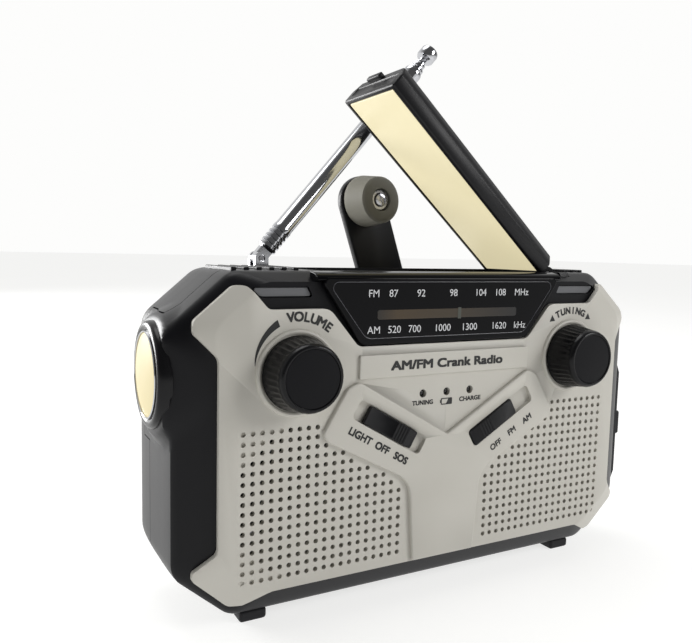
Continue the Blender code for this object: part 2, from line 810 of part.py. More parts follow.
def front_panel():
    panel = extruded("front_panel", rounded(panel_outline()), "Y", y_at(-3.0), y_at(12.0))
    skin = loft("panel_skin", body_stations(FACE_DEPTH)[:3])
    boolean(panel, "INTERSECT", skin)
    cut(panel, loft("panel_back", body_stations(GAP)[:3] + [body_stations()[3]]))
    plate = extruded("switch_plate", rounded(plate_outline()), "Y", y_at(-PLATE_LIFT), y_at(0.7))
    bar_low = (-NAME_BAR_HALF, y_at(-NAME_BAR_LIFT), DIAL_LOW - 8.9)
    bar_high = (NAME_BAR_HALF, y_at(0.7), DIAL_LOW - 8.9 + NAME_BAR_HEIGHT)
    join(panel, plate, box("name_bar", bar_low, bar_high))
    near, far = -PLATE_LIFT - 1.0, PANEL_THICKNESS + 1.0
    for side, name in ((-1, "light"), (1, "band")):
        cut(panel, across(name + "_shaft_hole", SHAFT_RADIUS + 1.3, side * KNOB_X, KNOB_Z, near, far, 20))
        centre = (side * SLOT_X, y_at((near + SLOT_FLOOR) / 2), SLOT_Z)
        size = (SLOT_LENGTH, SLOT_FLOOR - near, SLOT_WIDTH)
        cut(panel, tilted_box(name + "_slot", centre, size, -side * SLOT_TILT))
        cut(panel, stem_slot(name + "_stem_slot", side, near, far))
    cut(panel, *led_holes("led_panel_hole", near, far))
    return finish(panel, new_material("grey_abs_panel", GREY_ABS, 0.5))


def dial():
    window_outline = mirrored(
        [
            (0, DIAL_LOW, 0),
            (DIAL_LOW_HALF, DIAL_LOW, 3.2),
            (DIAL_TOP_HALF, DIAL_LOW + DIAL_HEIGHT, 1.5),
            (0, DIAL_LOW + DIAL_HEIGHT, 0),
        ]
    )
    window = extruded("dial_window", rounded(window_outline), "Y", y_at(-DIAL_LIFT), y_at(PANEL_THICKNESS))
    finish(window, new_material("gloss_black_acrylic", (0.006, 0.006, 0.008), 0.06))
    scale_depth = INNER_DEPTH + 3.4
    low = (-SCALE_HALF, y_at(scale_depth), DIAL_LOW + 2.1)
    high = (SCALE_HALF, y_at(scale_depth + 1.0), TRAY_LOW - 0.8)
    finish(box("dial_scale", low, high), new_material("black_card", (0.01, 0.01, 0.01), 0.7))
    low = (-SCALE_HALF + 2.5, y_at(scale_depth - 1.2), DIAL_LOW + 6.6)
    high = (SCALE_HALF - 2.5, y_at(scale_depth - GAP), DIAL_LOW + 9.1)
    finish(box("dial_light_guide", low, high), new_material("amber_acrylic", (0.35, 0.16, 0.03), 0.3))
    needle_near = INNER_DEPTH + 0.5
    low = (POINTER_REST - 0.45, y_at(needle_near), DIAL_LOW + 1.0)
    high = (POINTER_REST + 0.45, y_at(needle_near + 1.1), DIAL_LOW + 11.8)
    needle = box("dial_pointer", low, high)
    low = (POINTER_REST - 3.0, y_at(needle_near), DIAL_LOW + 0.2)
    high = (POINTER_REST + 3.0, y_at(needle_near + 1.8), DIAL_LOW + 1.8)
    join(needle, box("pointer_carriage", low, high))
    finish(needle, new_material("red_pointer", (0.5, 0.05, 0.03), 0.5))


def control_knob(name, side):
    """A tapered knob with a blind bore for its shaft, turning about its own axis."""
    height = KNOB_REACH + KNOB_BASE_DEPTH
    profile = [
        (0.0, height),
        (KNOB_FACE_RADIUS - 0.5, height),
        (KNOB_FACE_RADIUS + 0.1, height - 0.6),
        (KNOB_FACE_RADIUS + 0.4, height - 1.2),
        (KNOB_RADIUS, 0.0),
        (SHAFT_RADIUS + GAP, 0.0),
        (SHAFT_RADIUS + GAP, height - 1.7),
        (0.0, height - 1.7),
    ]
    base = (side * KNOB_X, y_at(KNOB_BASE_DEPTH), KNOB_Z)
    knob = turned(name, profile, base, (0, -1, 0), 32)
    return finish(knob, new_material(name + "_plastic", BLACK_ABS, 0.3))


def control_shaft(name, side):
    start = (side * KNOB_X, y_at(-KNOB_REACH + 2.0), KNOB_Z)
    end = (side * KNOB_X, y_at(INNER_DEPTH + 5.7), KNOB_Z)
    shaft = cylinder(name, SHAFT_RADIUS, start, end, 16)
    pivot(shaft, start)
    return finish(shaft, new_material(name + "_steel", STEEL, 0.35, 1.0))


def volume_control():
    profile = [
        (0.0, 1.4),
        (SHAFT_RADIUS + GAP, 1.4),
        (SHAFT_RADIUS + GAP, 7.4),
        (8.0, 7.4),
        (8.0, 0.0),
        (0.0, 0.0),
    ]
    base = (-KNOB_X, y_at(INNER_DEPTH + GAP + 7.4), KNOB_Z)
    pot = turned("volume_control", profile, base, (0, -1, 0), 24)
    return finish(pot, new_material("potentiometer_steel", STEEL, 0.4, 1.0))


def tuning_capacitor():
    low = (KNOB_X - 8.0, y_at(INNER_DEPTH + 1.2), KNOB_Z - 8.2)
    high = (KNOB_X + 8.0, y_at(BOARD_DEPTH - GAP), KNOB_Z + 7.8)
    body = box("tuning_capacitor", low, high)
    bore = across("capacitor_bore", SHAFT_RADIUS + GAP, KNOB_X, KNOB_Z, INNER_DEPTH, INNER_DEPTH + 6.1, 16)
    cut(body, bore)
    return finish(body, new_material("capacitor_plastic", (0.5, 0.5, 0.48), 0.4))


def slider(name, side, offset):
    """A switch slider and its stem; the offset is along the slot, towards its upper end."""
    tilt = math.radians(SLOT_TILT)
    x = side * SLOT_X + side * offset * math.cos(tilt)
    z = SLOT_Z + offset * math.sin(tilt)
    near, far = -SLIDER_LIFT, SLOT_FLOOR - GAP
    size = (SLIDER_LENGTH, far - near, SLIDER_WIDTH)
    cap = tilted_box(name, (x, y_at((near + far) / 2), z), size, -side * SLOT_TILT)
    far = INNER_DEPTH + 3.5
    near = -0.5
    size = (STEM_LENGTH, far - near, STEM_WIDTH)
    stem = tilted_box(name + "_stem", (x, y_at((near + far) / 2), z), size, -side * SLOT_TILT)
    join(cap, stem)
    return finish(cap, new_material(name + "_plastic", BLACK_ABS, 0.4))


def switch_board():
    near = INNER_DEPTH + 3.8
    low = (-SLOT_X - 7.1, y_at(near), SLOT_Z - 5.0)
    high = (SLOT_X + 7.1, y_at(near + 1.4), LED_Z + 2.8)
    board = box("switch_board", low, high)
    return finish(board, new_material("switch_board_laminate", BOARD_GREEN, 0.5))


def indicator_leds():
    names = ("tuning_led", "battery_led", "charge_led")
    length = INNER_DEPTH + 3.8 - GAP - 0.5
    radius = LED_RADIUS
    profile = [
        (0.0, length),
        (radius - 0.4, length - 0.15),
        (radius, length - 0.6),
        (radius, 0.0),
        (0.0, 0.0),
    ]
    for i, name in enumerate(names):
        base = ((i - 1) * LED_SPACING, y_at(0.5 + length), LED_Z)
        led = turned(name, profile, base, (0, -1, 0), 12)
        finish(led, new_material(name + "_lens", (0.05, 0.01, 0.01), 0.2))


# --- Inside --------------------------------------------------------------------------------------


def main_board():
    low = (-18.0, y_at(BOARD_DEPTH), LOW + 8.9)
    high = (HALF - 21.5, y_at(BOARD_DEPTH + BOARD_THICKNESS), TRAY_LOW - 10.0)
    board = box("main_board", low, high)
    chip_low = (-10.0, y_at(BOARD_DEPTH - 1.2), 30.0)
    chip_high = (-2.0, y_at(BOARD_DEPTH + 0.5), 38.0)
    can_low = (2.0, y_at(BOARD_DEPTH - 4.0), 58.0)
    can_high = (10.0, y_at(BOARD_DEPTH + 0.5), 66.0)
    join(board, box("radio_chip", chip_low, chip_high), box("coil_can", can_low, can_high))
    return finish(board, new_material("circuit_board", BOARD_GREEN, 0.5))


def speaker():
    face = INNER_DEPTH + GAP
    rim, throat = SPEAKER_RADIUS, MAGNET_RADIUS - 0.5
    frame_profile = [
        (rim, SPEAKER_DEPTH),
        (rim, SPEAKER_DEPTH - 1.0),
        (rim - 1.6, SPEAKER_DEPTH - 1.4),
        (throat + 0.8, 6.4),
        (throat - 3.0, 6.2),
        (throat - 3.0, 7.0),
        (throat, 7.2),
        (rim - 2.6, SPEAKER_DEPTH - 1.0),
        (rim - 2.6, SPEAKER_DEPTH),
    ]
    back = (SPEAKER_X, y_at(face + SPEAKER_DEPTH), SPEAKER_Z)
    frame = turned("speaker_frame", frame_profile, back, (0, -1, 0), 32, ring=True)
    finish(frame, new_material("speaker_steel", (0.3, 0.3, 0.3), 0.5, 1.0))
    cone_profile = [
        (0.0, 8.9),
        (3.5, 8.3),
        (5.0, 8.0),
        (rim - 3.2, SPEAKER_DEPTH - 0.8),
        (rim - 3.2, SPEAKER_DEPTH - 1.3),
        (5.2, 7.6),
        (0.0, 7.6),
    ]
    cone = turned("speaker_cone", cone_profile, back, (0, -1, 0), 32)
    finish(cone, new_material("paper_cone", (0.05, 0.05, 0.05), 0.8))
    magnet_profile = [(0.0, 5.9), (MAGNET_RADIUS, 5.9), (MAGNET_RADIUS, 0.0), (0.0, 0.0)]
    magnet = turned("speaker_magnet", magnet_profile, back, (0, -1, 0), 24)
    finish(magnet, new_material("ferrite", (0.08, 0.08, 0.08), 0.6))


def battery_cell():
    profile = [
        (0.0, CELL_LENGTH),
        (2.5, CELL_LENGTH),
        (2.5, CELL_LENGTH - 1.0),
        (CELL_RADIUS, CELL_LENGTH - 1.0),
        (CELL_RADIUS, 0.0),
        (0.0, 0.0),
    ]
    cell = turned("battery_cell", profile, (CELL_LEFT, y_at(CELL_DEPTH), CELL_Z), (1, 0, 0), 24)
    return finish(cell, new_material("cell_wrap", (0.05, 0.2, 0.45), 0.4))


def socket_hole():
    margin = GAP
    low = (
        HALF - WALL - 1.0,
        y_at(SOCKET_DEPTH) - SOCKET_THICKNESS / 2 - margin,
        SOCKET_Z - SOCKET_HALF - margin,
    )
    high = (
        HALF + 1.0,
        y_at(SOCKET_DEPTH) + SOCKET_THICKNESS / 2 + margin,
        SOCKET_Z + SOCKET_HALF + margin,
    )
    return box("socket_hole", low, high)


def usb_socket():
    middle = y_at(SOCKET_DEPTH)
    half = SOCKET_THICKNESS / 2
    low = (HALF - 10.5, middle - half, SOCKET_Z - SOCKET_HALF)
    high = (HALF - 0.5, middle + half, SOCKET_Z + SOCKET_HALF)
    shell = box("usb_socket", low, high)
    mouth = box(
        "usb_mouth",
        (low[0] + 3.0, low[1] + SOCKET_WALL, low[2] + SOCKET_WALL),
        (high[0] + 1.0, high[1] - SOCKET_WALL, high[2] - SOCKET_WALL),
    )
    cut(shell, mouth)
    return finish(shell, new_material("socket_steel", STEEL, 0.3, 1.0))


# --- Flashlight ------------------------------------------------------------------------------------


def flashlight():
    """The side flashlight, turned about an axis along -X; heights count out from the wall's back."""
    base = (-(HALF - 3.0), y_at(FLASHLIGHT_DEPTH), FLASHLIGHT_Z)
    out = (-1, 0, 0)
    flange = 3.0 + GAP
    sleeve = BEZEL_RADIUS - 1.7
    bezel_profile = [
        (sleeve - 0.7, flange + 2.2),
        (BEZEL_RADIUS - 1.6, flange + 3.0),
        (BEZEL_RADIUS - 0.6, flange + 2.7),
        (BEZEL_RADIUS, flange + 1.6),
        (BEZEL_RADIUS, flange),
        (sleeve, flange),
        (sleeve, 0.0),
        (sleeve - 0.9, 0.0),
    ]
    bezel = turned("flashlight_bezel", bezel_profile, base, out, 40, ring=True)
    finish(bezel, new_material("black_bezel", BLACK_ABS, 0.35))
    apex = 3.0 + SIDE_REACH
    edge = apex - 2.1
    lens_profile = [
        (0.0, apex),
        (LENS_RADIUS * 0.4, apex - 0.25),
        (LENS_RADIUS * 0.75, apex - 1.0),
        (LENS_RADIUS, edge),
        (LENS_RADIUS, edge - 1.0),
        (0.0, edge - 1.0),
    ]
    lens = turned("flashlight_lens", lens_profile, base, out, 32)
    finish(lens, new_material("warm_lens", (0.9, 0.82, 0.55), 0.1))
    rim = edge - 1.0 - GAP
    reflector_profile = [
        (LENS_RADIUS, rim),
        (LENS_RADIUS, rim - 1.4),
        (4.0, rim - 12.0),
        (3.0, rim - 12.0),
        (LENS_RADIUS - 0.9, rim),
    ]
    reflector = turned("flashlight_reflector", reflector_profile, base, out, 32, ring=True)
    finish(reflector, new_material("reflector_chrome", CHROME, 0.08, 1.0))
    board_face = rim - 12.0 - 0.4
    board_profile = [
        (0.0, board_face + 2.1),
        (1.2, board_face + 1.8),
        (1.9, board_face + 1.0),
        (1.9, board_face),
        (7.0, board_face),
        (7.0, board_face - 1.6),
        (0.0, board_face - 1.6),
    ]
    board = turned("flashlight_led_board", board_profile, base, out, 20)
    finish(board, new_material("led_board", (0.8, 0.8, 0.75), 0.5))


# --- Lamp bar and its tray -----------------------------------------------------------------------


def lamp_tray():
    low = (TRAY_LEFT, y_at(TRAY_FRONT), TRAY_LOW)
    high = (TRAY_RIGHT, y_at(TRAY_REAR), TOP)
    tray = box("lamp_tray", low, high)
    pocket_low = (TRAY_LEFT + TRAY_WALL, y_at(TRAY_FRONT + TRAY_WALL), TRAY_FLOOR_Z)
    pocket_high = (TRAY_RIGHT - TRAY_WALL, y_at(TRAY_REAR - TRAY_WALL), TOP + 5.0)
    cut(tray, box("tray_pocket", pocket_low, pocket_high))
    middle = y_at(LAMP_MID_DEPTH)
    for side, name in ((-1, "front"), (1, "rear")):
        near = middle + side * (HINGE_HALF + GAP)
        far = middle + side * (HINGE_HALF + 3.8)
        near, far = min(near, far), max(near, far)
        foot = box(
            name + "_lug_foot",
            (HINGE_X - HINGE_RADIUS, near, TRAY_FLOOR_Z - 0.5),
            (HINGE_X + HINGE_RADIUS, far, HINGE_Z),
        )
        eye = cylinder(name + "_lug_eye", HINGE_RADIUS, (HINGE_X, near, HINGE_Z), (HINGE_X, far, HINGE_Z), 20)
        join(tray, foot, eye)
    bore_start = (HINGE_X, middle - HINGE_HALF - 5.0, HINGE_Z)
    bore_end = (HINGE_X, middle + HINGE_HALF + 5.0, HINGE_Z)
    cut(tray, cylinder("lug_bore", PIN_RADIUS + GAP, bore_start, bore_end, 16))
    return finish(tray, new_material("black_abs_tray", BLACK_ABS, 0.5))


def lamp_hinge_pin():
    middle = y_at(LAMP_MID_DEPTH)
    half = HINGE_HALF + 3.5
    start = (HINGE_X, middle - half, HINGE_Z)
    pin = cylinder("lamp_hinge_pin", PIN_RADIUS, start, (HINGE_X, middle + half, HINGE_Z), 12)
    return finish(pin, new_material("pin_steel", STEEL, 0.3, 1.0))


def lamp_bar():
    """The bar closed, around its hinge at the origin; its frame then opens it."""
    hinge = joint_frame("lamp_hinge_axis", (HINGE_X, y_at(LAMP_MID_DEPTH), HINGE_Z), LAMP_OPEN_ANGLE)
    near_end = -LAMP_NECK
    free_end = near_end - LAMP_LENGTH
    inner = -LAMP_BELOW_HINGE
    outer = inner + LAMP_THICKNESS
    half = LAMP_WIDTH / 2
    cover = box("lamp_cover", (free_end, -half, inner), (near_end, half, outer))
    bevel(cover, 0.6)
    barrel = cylinder("lamp_barrel", HINGE_RADIUS, (0, -HINGE_HALF, 0), (0, HINGE_HALF, 0), 20)
    neck = box("lamp_neck", (near_end - 0.6, -HINGE_HALF, -2.2), (0, HINGE_HALF, 2.2))
    tab = box("lamp_tab", (free_end - LAMP_TAB, -5.0, outer - 2.2), (free_end + 0.6, 5.0, outer - 0.2))
    join(cover, barrel, neck, tab)
    bore = cylinder("lamp_bore", PIN_RADIUS + GAP, (0, -half, 0), (0, half, 0), 16)
    rim = LAMP_RIM
    lamp_pocket_low = (free_end + rim, -half + rim, inner - 1.0)
    lamp_pocket_high = (near_end - rim, half - rim, inner + 4.0)
    lamp_pocket = box("lamp_pocket", lamp_pocket_low, lamp_pocket_high)
    solar_low = (free_end + SOLAR_RIM, -half + SOLAR_RIM, outer - SOLAR_RECESS)
    solar_high = (near_end - SOLAR_RIM, half - SOLAR_RIM, outer + 1.0)
    cut(cover, bore, lamp_pocket, box("solar_pocket", solar_low, solar_high))
    finish(cover, new_material("black_abs_lamp", BLACK_ABS, 0.4))
    rim += GAP
    diffuser_low = (free_end + rim, -half + rim, inner + 0.3)
    diffuser_high = (near_end - rim, half - rim, inner + 2.0)
    diffuser = box("lamp_diffuser", diffuser_low, diffuser_high)
    finish(diffuser, new_material("milky_diffuser", (0.92, 0.85, 0.6), 0.5))
    strip_low = (free_end + 6.0, -half + 6.0, inner + 2.8)
    strip_high = (near_end - 6.0, half - 6.0, inner + 3.7)
    strip = box("lamp_led_strip", strip_low, strip_high)
    finish(strip, new_material("lamp_led_board", (0.8, 0.8, 0.75), 0.5))
    rim = SOLAR_RIM + GAP
    panel_low = (free_end + rim, -half + rim, outer - SOLAR_RECESS + GAP)
    panel_high = (near_end - rim, half - rim, outer)
    solar = box("solar_panel", panel_low, panel_high)
    finish(solar, new_material("solar_cells", (0.01, 0.015, 0.05), 0.15))
    cutters = (barrel, neck, tab, bore, lamp_pocket, bpy.data.objects["solar_pocket"])
    carry(hinge, cover, diffuser, strip, solar, *cutters)


# --- Antenna -------------------------------------------------------------------------------------


def antenna_base():
    x, y = ANTENNA_X, y_at(ANTENNA_DEPTH)
    disc, stub = ANTENNA_DISC_RADIUS, ANTENNA_STUB_RADIUS
    seat = ANTENNA_STUB_LENGTH
    full = seat + ANTENNA_DISC_THICKNESS
    profile = [(0.0, full), (disc, full), (disc, seat), (stub, seat), (stub, 0.0), (0.0, 0.0)]
    foot = TOP - ANTENNA_SEAT_DROP + TILT_PIN_PLAY - seat
    base = turned("antenna_base", profile, (x, y, foot), (0, 0, 1), 24)
    radius = ANTENNA_EYE_RADIUS
    inner = TONGUE_HALF + GAP
    for side, name in ((-1, "front_ear"), (1, "rear_ear")):
        near, far = sorted((y + side * inner, y + side * (inner + ANTENNA_EYE_THICKNESS)))
        ear = box(name, (x - radius, near, foot + full - 0.35), (x + radius, far, ANTENNA_Z))
        eye = cylinder(name + "_eye", radius, (x, near, ANTENNA_Z), (x, far, ANTENNA_Z), 16)
        join(base, ear, eye)
    bore = TILT_PIN_RADIUS + TILT_PIN_PLAY
    cut(base, cylinder("ear_bore", bore, (x, y - 4.0, ANTENNA_Z), (x, y + 4.0, ANTENNA_Z), 12))
    return finish(base, new_material("antenna_base_chrome", CHROME, 0.15, 1.0))


def antenna_pin():
    x, y = ANTENNA_X, y_at(ANTENNA_DEPTH)
    half = TONGUE_HALF + GAP + ANTENNA_EYE_THICKNESS - 0.15
    pin = cylinder("antenna_pin", TILT_PIN_RADIUS, (x, y - half, ANTENNA_Z), (x, y + half, ANTENNA_Z), 12)
    return finish(pin, new_material("antenna_pin_steel", STEEL, 0.3, 1.0))


def antenna_sections():
    """The telescopic mast along local +X from its tilt axis, nearly closed."""
    tilt = joint_frame("antenna_tilt_axis", (ANTENNA_X, y_at(ANTENNA_DEPTH), ANTENNA_Z), -ANTENNA_TILT)
    chrome = new_material("antenna_chrome", CHROME, 0.1, 1.0)
    radius = ANTENNA_TUBE_RADIUS
    wall = ANTENNA_TUBE_WALL
    start, end = ANTENNA_TUBE_START, ANTENNA_TUBE_END
    profile = [
        (0.0, start + 4.0),
        (radius - wall, start + 4.0),
        (radius - wall, end),
        (radius, end),
        (radius, start),
        (0.0, start),
    ]
    tube = turned("antenna_tube_1", profile, (0, 0, 0), (1, 0, 0), 16)
    half = TONGUE_HALF
    tongue = box("tongue", (0, -half, -TONGUE_RADIUS), (start + 1.0, half, TONGUE_RADIUS))
    eye = cylinder("tongue_eye", TONGUE_RADIUS, (0, -half, 0), (0, half, 0), 16)
    join(tube, tongue, eye)
    bore = cylinder("tongue_bore", TILT_PIN_RADIUS + TILT_PIN_PLAY, (0, -2.0, 0), (0, 2.0, 0), 12)
    cut(tube, bore)
    carry(tilt, finish(tube, chrome), tongue, eye, bore)
    low = start + 7.0
    for i in (2, 3):
        radius -= wall + SLIDING_GAP
        end += ANTENNA_STEP
        low += 2.0
        ring = [(radius - wall, end), (radius, end), (radius, low), (radius - wall, low)]
        section = turned(f"antenna_tube_{i}", ring, (0, 0, 0), (1, 0, 0), 16, ring=True)
        carry(tilt, finish(section, chrome))
    radius -= wall + SLIDING_GAP
    end += ANTENNA_STEP
    tip = end + ANTENNA_TIP_LENGTH
    profile = [
        (0.0, tip),
        (ANTENNA_TIP_RADIUS - 0.6, tip),
        (ANTENNA_TIP_RADIUS, tip - 0.6),
        (ANTENNA_TIP_RADIUS, end + 0.4),
        (ANTENNA_TIP_RADIUS - 0.4, end),
        (radius, end),
        (radius, low + 2.0),
        (0.0, low + 2.0),
    ]
    rod = turned("antenna_rod", profile, (0, 0, 0), (1, 0, 0), 16)
    carry(tilt, finish(rod, chrome))


# --- Crank and dynamo ------------------------------------------------------------------------------


def crank():
    """Hub, arm, knob and pins around the hub's axis, turned with the arm."""
    frame = joint_frame("crank_axis", (CRANK_X, y_at(BODY_DEPTH), CRANK_Z), -CRANK_TILT)
    inner_end = WHEEL_DEPTH - 1.6 - BODY_DEPTH
    wheel_far = WHEEL_DEPTH + GEAR_THICKNESS + 0.4 - BODY_DEPTH
    fold = FOLD_DEPTH - BODY_DEPTH
    hub_profile = [
        (0.0, 11.0),
        (HUB_RADIUS - 0.8, 11.0),
        (HUB_RADIUS, 10.2),
        (HUB_RADIUS, 0.8),
        (CRANK_SHAFT_RADIUS, 0.8),
        (CRANK_SHAFT_RADIUS, wheel_far),
        (CRANK_STEM_RADIUS, wheel_far),
        (CRANK_STEM_RADIUS, inner_end),
        (0.0, inner_end),
    ]
    hub = turned("crank_hub", hub_profile, (0, 0, 0), (0, 1, 0), 32)
    helpers = []
    for side, name in ((-1, "left_lug"), (1, "right_lug")):
        near, far = sorted((side * LUG_INNER, side * LUG_OUTER))
        foot = box(name, (near, 10.0, -LUG_RADIUS), (far, fold, LUG_RADIUS))
        eye = cylinder(name + "_eye", LUG_RADIUS, (near, fold, 0), (far, fold, 0), 20)
        join(hub, foot, eye)
        helpers += [foot, eye]
    bore = cylinder("fold_bore", PIN_RADIUS + GAP, (-12.0, fold, 0), (12.0, fold, 0), 16)
    cut(hub, bore)
    finish(hub, new_material("hub_plastic", BLACK_ABS, 0.45))
    pin = cylinder("crank_fold_pin", PIN_RADIUS, (-LUG_OUTER, fold, 0), (LUG_OUTER, fold, 0), 12)
    finish(pin, new_material("fold_pin_steel", STEEL, 0.3, 1.0))
    arm, arm_helpers = crank_arm(fold, bore)
    knob, knob_helpers = crank_knob(fold)
    screw = crank_knob_screw(fold)
    carry(frame, hub, pin, arm, knob, screw, bore, *helpers, *arm_helpers, *knob_helpers)


def crank_arm(fold, fold_bore):
    half = CRANK_ARM_WIDTH / 2
    thick = CRANK_ARM_THICKNESS / 2
    outline = rounded(
        [
            (-half, LUG_RADIUS + 1.0, 1.5),
            (half, LUG_RADIUS + 1.0, 1.5),
            (half, CRANK_LENGTH + half, half * 0.9),
            (-half, CRANK_LENGTH + half, half * 0.9),
        ],
        5,
    )
    arm = extruded("crank_arm", outline, "Y", fold - thick, fold + thick)
    barrel_half = LUG_INNER - GAP
    barrel = cylinder("arm_barrel", BARREL_RADIUS, (-barrel_half, fold, 0), (barrel_half, fold, 0), 20)
    neck_low = (-barrel_half, fold - thick + 0.1, 0)
    neck_high = (barrel_half, fold + thick - 0.1, LUG_RADIUS + 2.0)
    neck = box("arm_neck", neck_low, neck_high)
    hole_start = (0, fold - 5.0, CRANK_LENGTH)
    hole = cylinder("arm_hole", GRIP_BORE_RADIUS, hole_start, (0, fold + 5.0, CRANK_LENGTH), 16)
    join(arm, barrel, neck)
    cut(arm, fold_bore, hole)
    finish(arm, new_material("arm_plastic", BLACK_ABS, 0.45))
    return arm, (barrel, neck, hole)


def crank_knob(fold):
    back = fold - CRANK_ARM_THICKNESS / 2 - GAP
    front = GRIP_FRONT
    half = CRANK_KNOB_HEIGHT / 2
    start = (0, back, CRANK_LENGTH)
    end = (0, front, CRANK_LENGTH)
    narrow = (CRANK_KNOB_WIDTH / CRANK_KNOB_HEIGHT, 1, 1)
    knob = cylinder("crank_knob", half, start, end, 32, half * CRANK_KNOB_TAPER, narrow)
    bevel(knob, 1.0, 2)
    before = (0, front - 2.0, CRANK_LENGTH)
    bore = cylinder("knob_bore", GRIP_BORE_RADIUS, before, (0, back + 2.0, CRANK_LENGTH), 16)
    recess = cylinder("knob_recess", 3.4, before, (0, front + 1.8, CRANK_LENGTH), 20)
    cut(knob, bore, recess)
    finish(knob, new_material("knob_plastic", (0.06, 0.06, 0.06), 0.5))
    return knob, (bore, recess)


def crank_knob_screw(fold):
    front = GRIP_FRONT + 0.4
    back = fold + CRANK_ARM_THICKNESS / 2 - GAP
    length = back - front
    profile = [
        (0.0, length),
        (2.0, length),
        (3.0, length - 0.5),
        (3.0, length - 1.1),
        (GRIP_SCREW_RADIUS, length - 1.1),
        (GRIP_SCREW_RADIUS, 0.0),
        (0.0, 0.0),
    ]
    screw = turned("crank_knob_screw", profile, (0, back, CRANK_LENGTH), (0, -1, 0), 16)
    return finish(screw, new_material("knob_screw_steel", STEEL, 0.3, 1.0))


def gear_outline(teeth, module, first_tooth):
    """Straight-flanked teeth with running backlash; the first tooth points at an angle."""
    pitch = module * teeth / 2
    half_tooth = math.pi * module / 4 * 0.84
    flank = math.tan(math.radians(20))
    outline = []
    for tooth in range(teeth):
        centre = math.radians(first_tooth) + 2 * math.pi * tooth / teeth
        corners = [(pitch - 1.25 * module, -1), (pitch + 0.85 * module, -1)]
        corners += [(pitch + 0.85 * module, 1), (pitch - 1.25 * module, 1)]
        for radius, side in corners:
            angle = centre + side * (half_tooth - (radius - pitch) * flank) / radius
            outline.append((radius * math.cos(angle), radius * math.sin(angle)))
    return outline


def gear(name, teeth, module, first_tooth, centre, near, far):
    """A toothed disc between two depths."""
    place = Matrix.Translation((centre[0], 0, centre[1]))
    return extruded(name, gear_outline(teeth, module, first_tooth), "Y", y_at(near), y_at(far), place)


def crank_gear():
    centre = (CRANK_X, CRANK_Z)
    near, far = WHEEL_DEPTH, WHEEL_DEPTH + GEAR_THICKNESS
    wheel = gear("crank_gear", WHEEL_TEETH, MAIN_MODULE, IDLER_DIRECTION, centre, near, far)
    bore = CRANK_STEM_RADIUS + GAP
    cut(wheel, across("crank_gear_bore", bore, CRANK_X, CRANK_Z, near - 1.0, far + 1.0, 16))
    pivot(wheel, (CRANK_X, y_at(BODY_DEPTH), CRANK_Z))
    return finish(wheel, new_material("acetal_wheel", (0.7, 0.7, 0.66), 0.4))


def idler_gear():
    centre = (IDLER_X, IDLER_Z)
    gap_angle = IDLER_DIRECTION + 180.0 + 180.0 / PINION_TEETH
    near, far = WHEEL_DEPTH - 0.4, WHEEL_DEPTH + GEAR_THICKNESS + 0.4
    pinion = gear("idler_pinion", PINION_TEETH, MAIN_MODULE, gap_angle, centre, near, far)
    wheel_far = FAST_WHEEL_DEPTH + GEAR_THICKNESS - 0.2
    wheel = gear("idler_gear", WHEEL_TEETH, FAST_MODULE, 0.0, centre, FAST_WHEEL_DEPTH, wheel_far)
    hub = across("idler_hub", 3.4, IDLER_X, IDLER_Z, wheel_far - 0.5, near + 0.5, 20)
    join(wheel, pinion, hub)
    bore = IDLER_POST_RADIUS + GAP
    cut(wheel, across("idler_bore", bore, IDLER_X, IDLER_Z, FAST_WHEEL_DEPTH - 2.0, BODY_DEPTH, 12))
    return finish(wheel, new_material("acetal_idler", (0.7, 0.7, 0.66), 0.4))


def dynamo():
    near = BOARD_DEPTH + BOARD_THICKNESS + GAP
    far = near + DYNAMO_LENGTH
    can = across("dynamo_body", DYNAMO_RADIUS, DYNAMO_X, IDLER_Z, near, far, 24)
    bore = DYNAMO_SHAFT_RADIUS + GAP
    cut(can, across("dynamo_bore", bore, DYNAMO_X, IDLER_Z, near + 4.0, far + 1.0, 12))
    finish(can, new_material("dynamo_steel", STEEL, 0.4, 1.0))
    centre = (DYNAMO_X, IDLER_Z)
    gap_angle = 180.0 + 180.0 / PINION_TEETH
    pinion_near = FAST_WHEEL_DEPTH - 0.3
    pinion_far = FAST_WHEEL_DEPTH + GEAR_THICKNESS + 0.4
    pinion = gear("dynamo_pinion", PINION_TEETH, FAST_MODULE, gap_angle, centre, pinion_near, pinion_far)
    shaft_end = pinion_near + 1.0
    shaft = across("dynamo_shaft", DYNAMO_SHAFT_RADIUS, DYNAMO_X, IDLER_Z, near + 4.5, shaft_end, 12)
    join(pinion, shaft)
    finish(pinion, new_material("acetal_pinion", (0.7, 0.7, 0.66), 0.4))


# --- Port cover ------------------------------------------------------------------------------------


def port_cover():
    """A rubber flap with chamfered ends and a finger tab, hinged along its rear edge."""
    inner = HALF + GAP
    outer = inner + COVER_THICKNESS
    near, far = y_at(COVER_FRONT_DEPTH), y_at(COVER_REAR_DEPTH)
    cover = box("port_cover", (inner, near, COVER_LOW), (outer, far, COVER_HIGH))
    bevel(cover, 0.8)
    middle = (COVER_LOW + COVER_HIGH) / 2
    tab_low = (outer - 0.8, near + 0.4, middle - 4.5)
    tab_high = (HALF + SIDE_REACH, near + 5.0, middle + 3.5)
    join(cover, box("cover_tab", tab_low, tab_high))
    return finish(cover, new_material("cover_rubber", (0.012, 0.012, 0.012), 0.7))


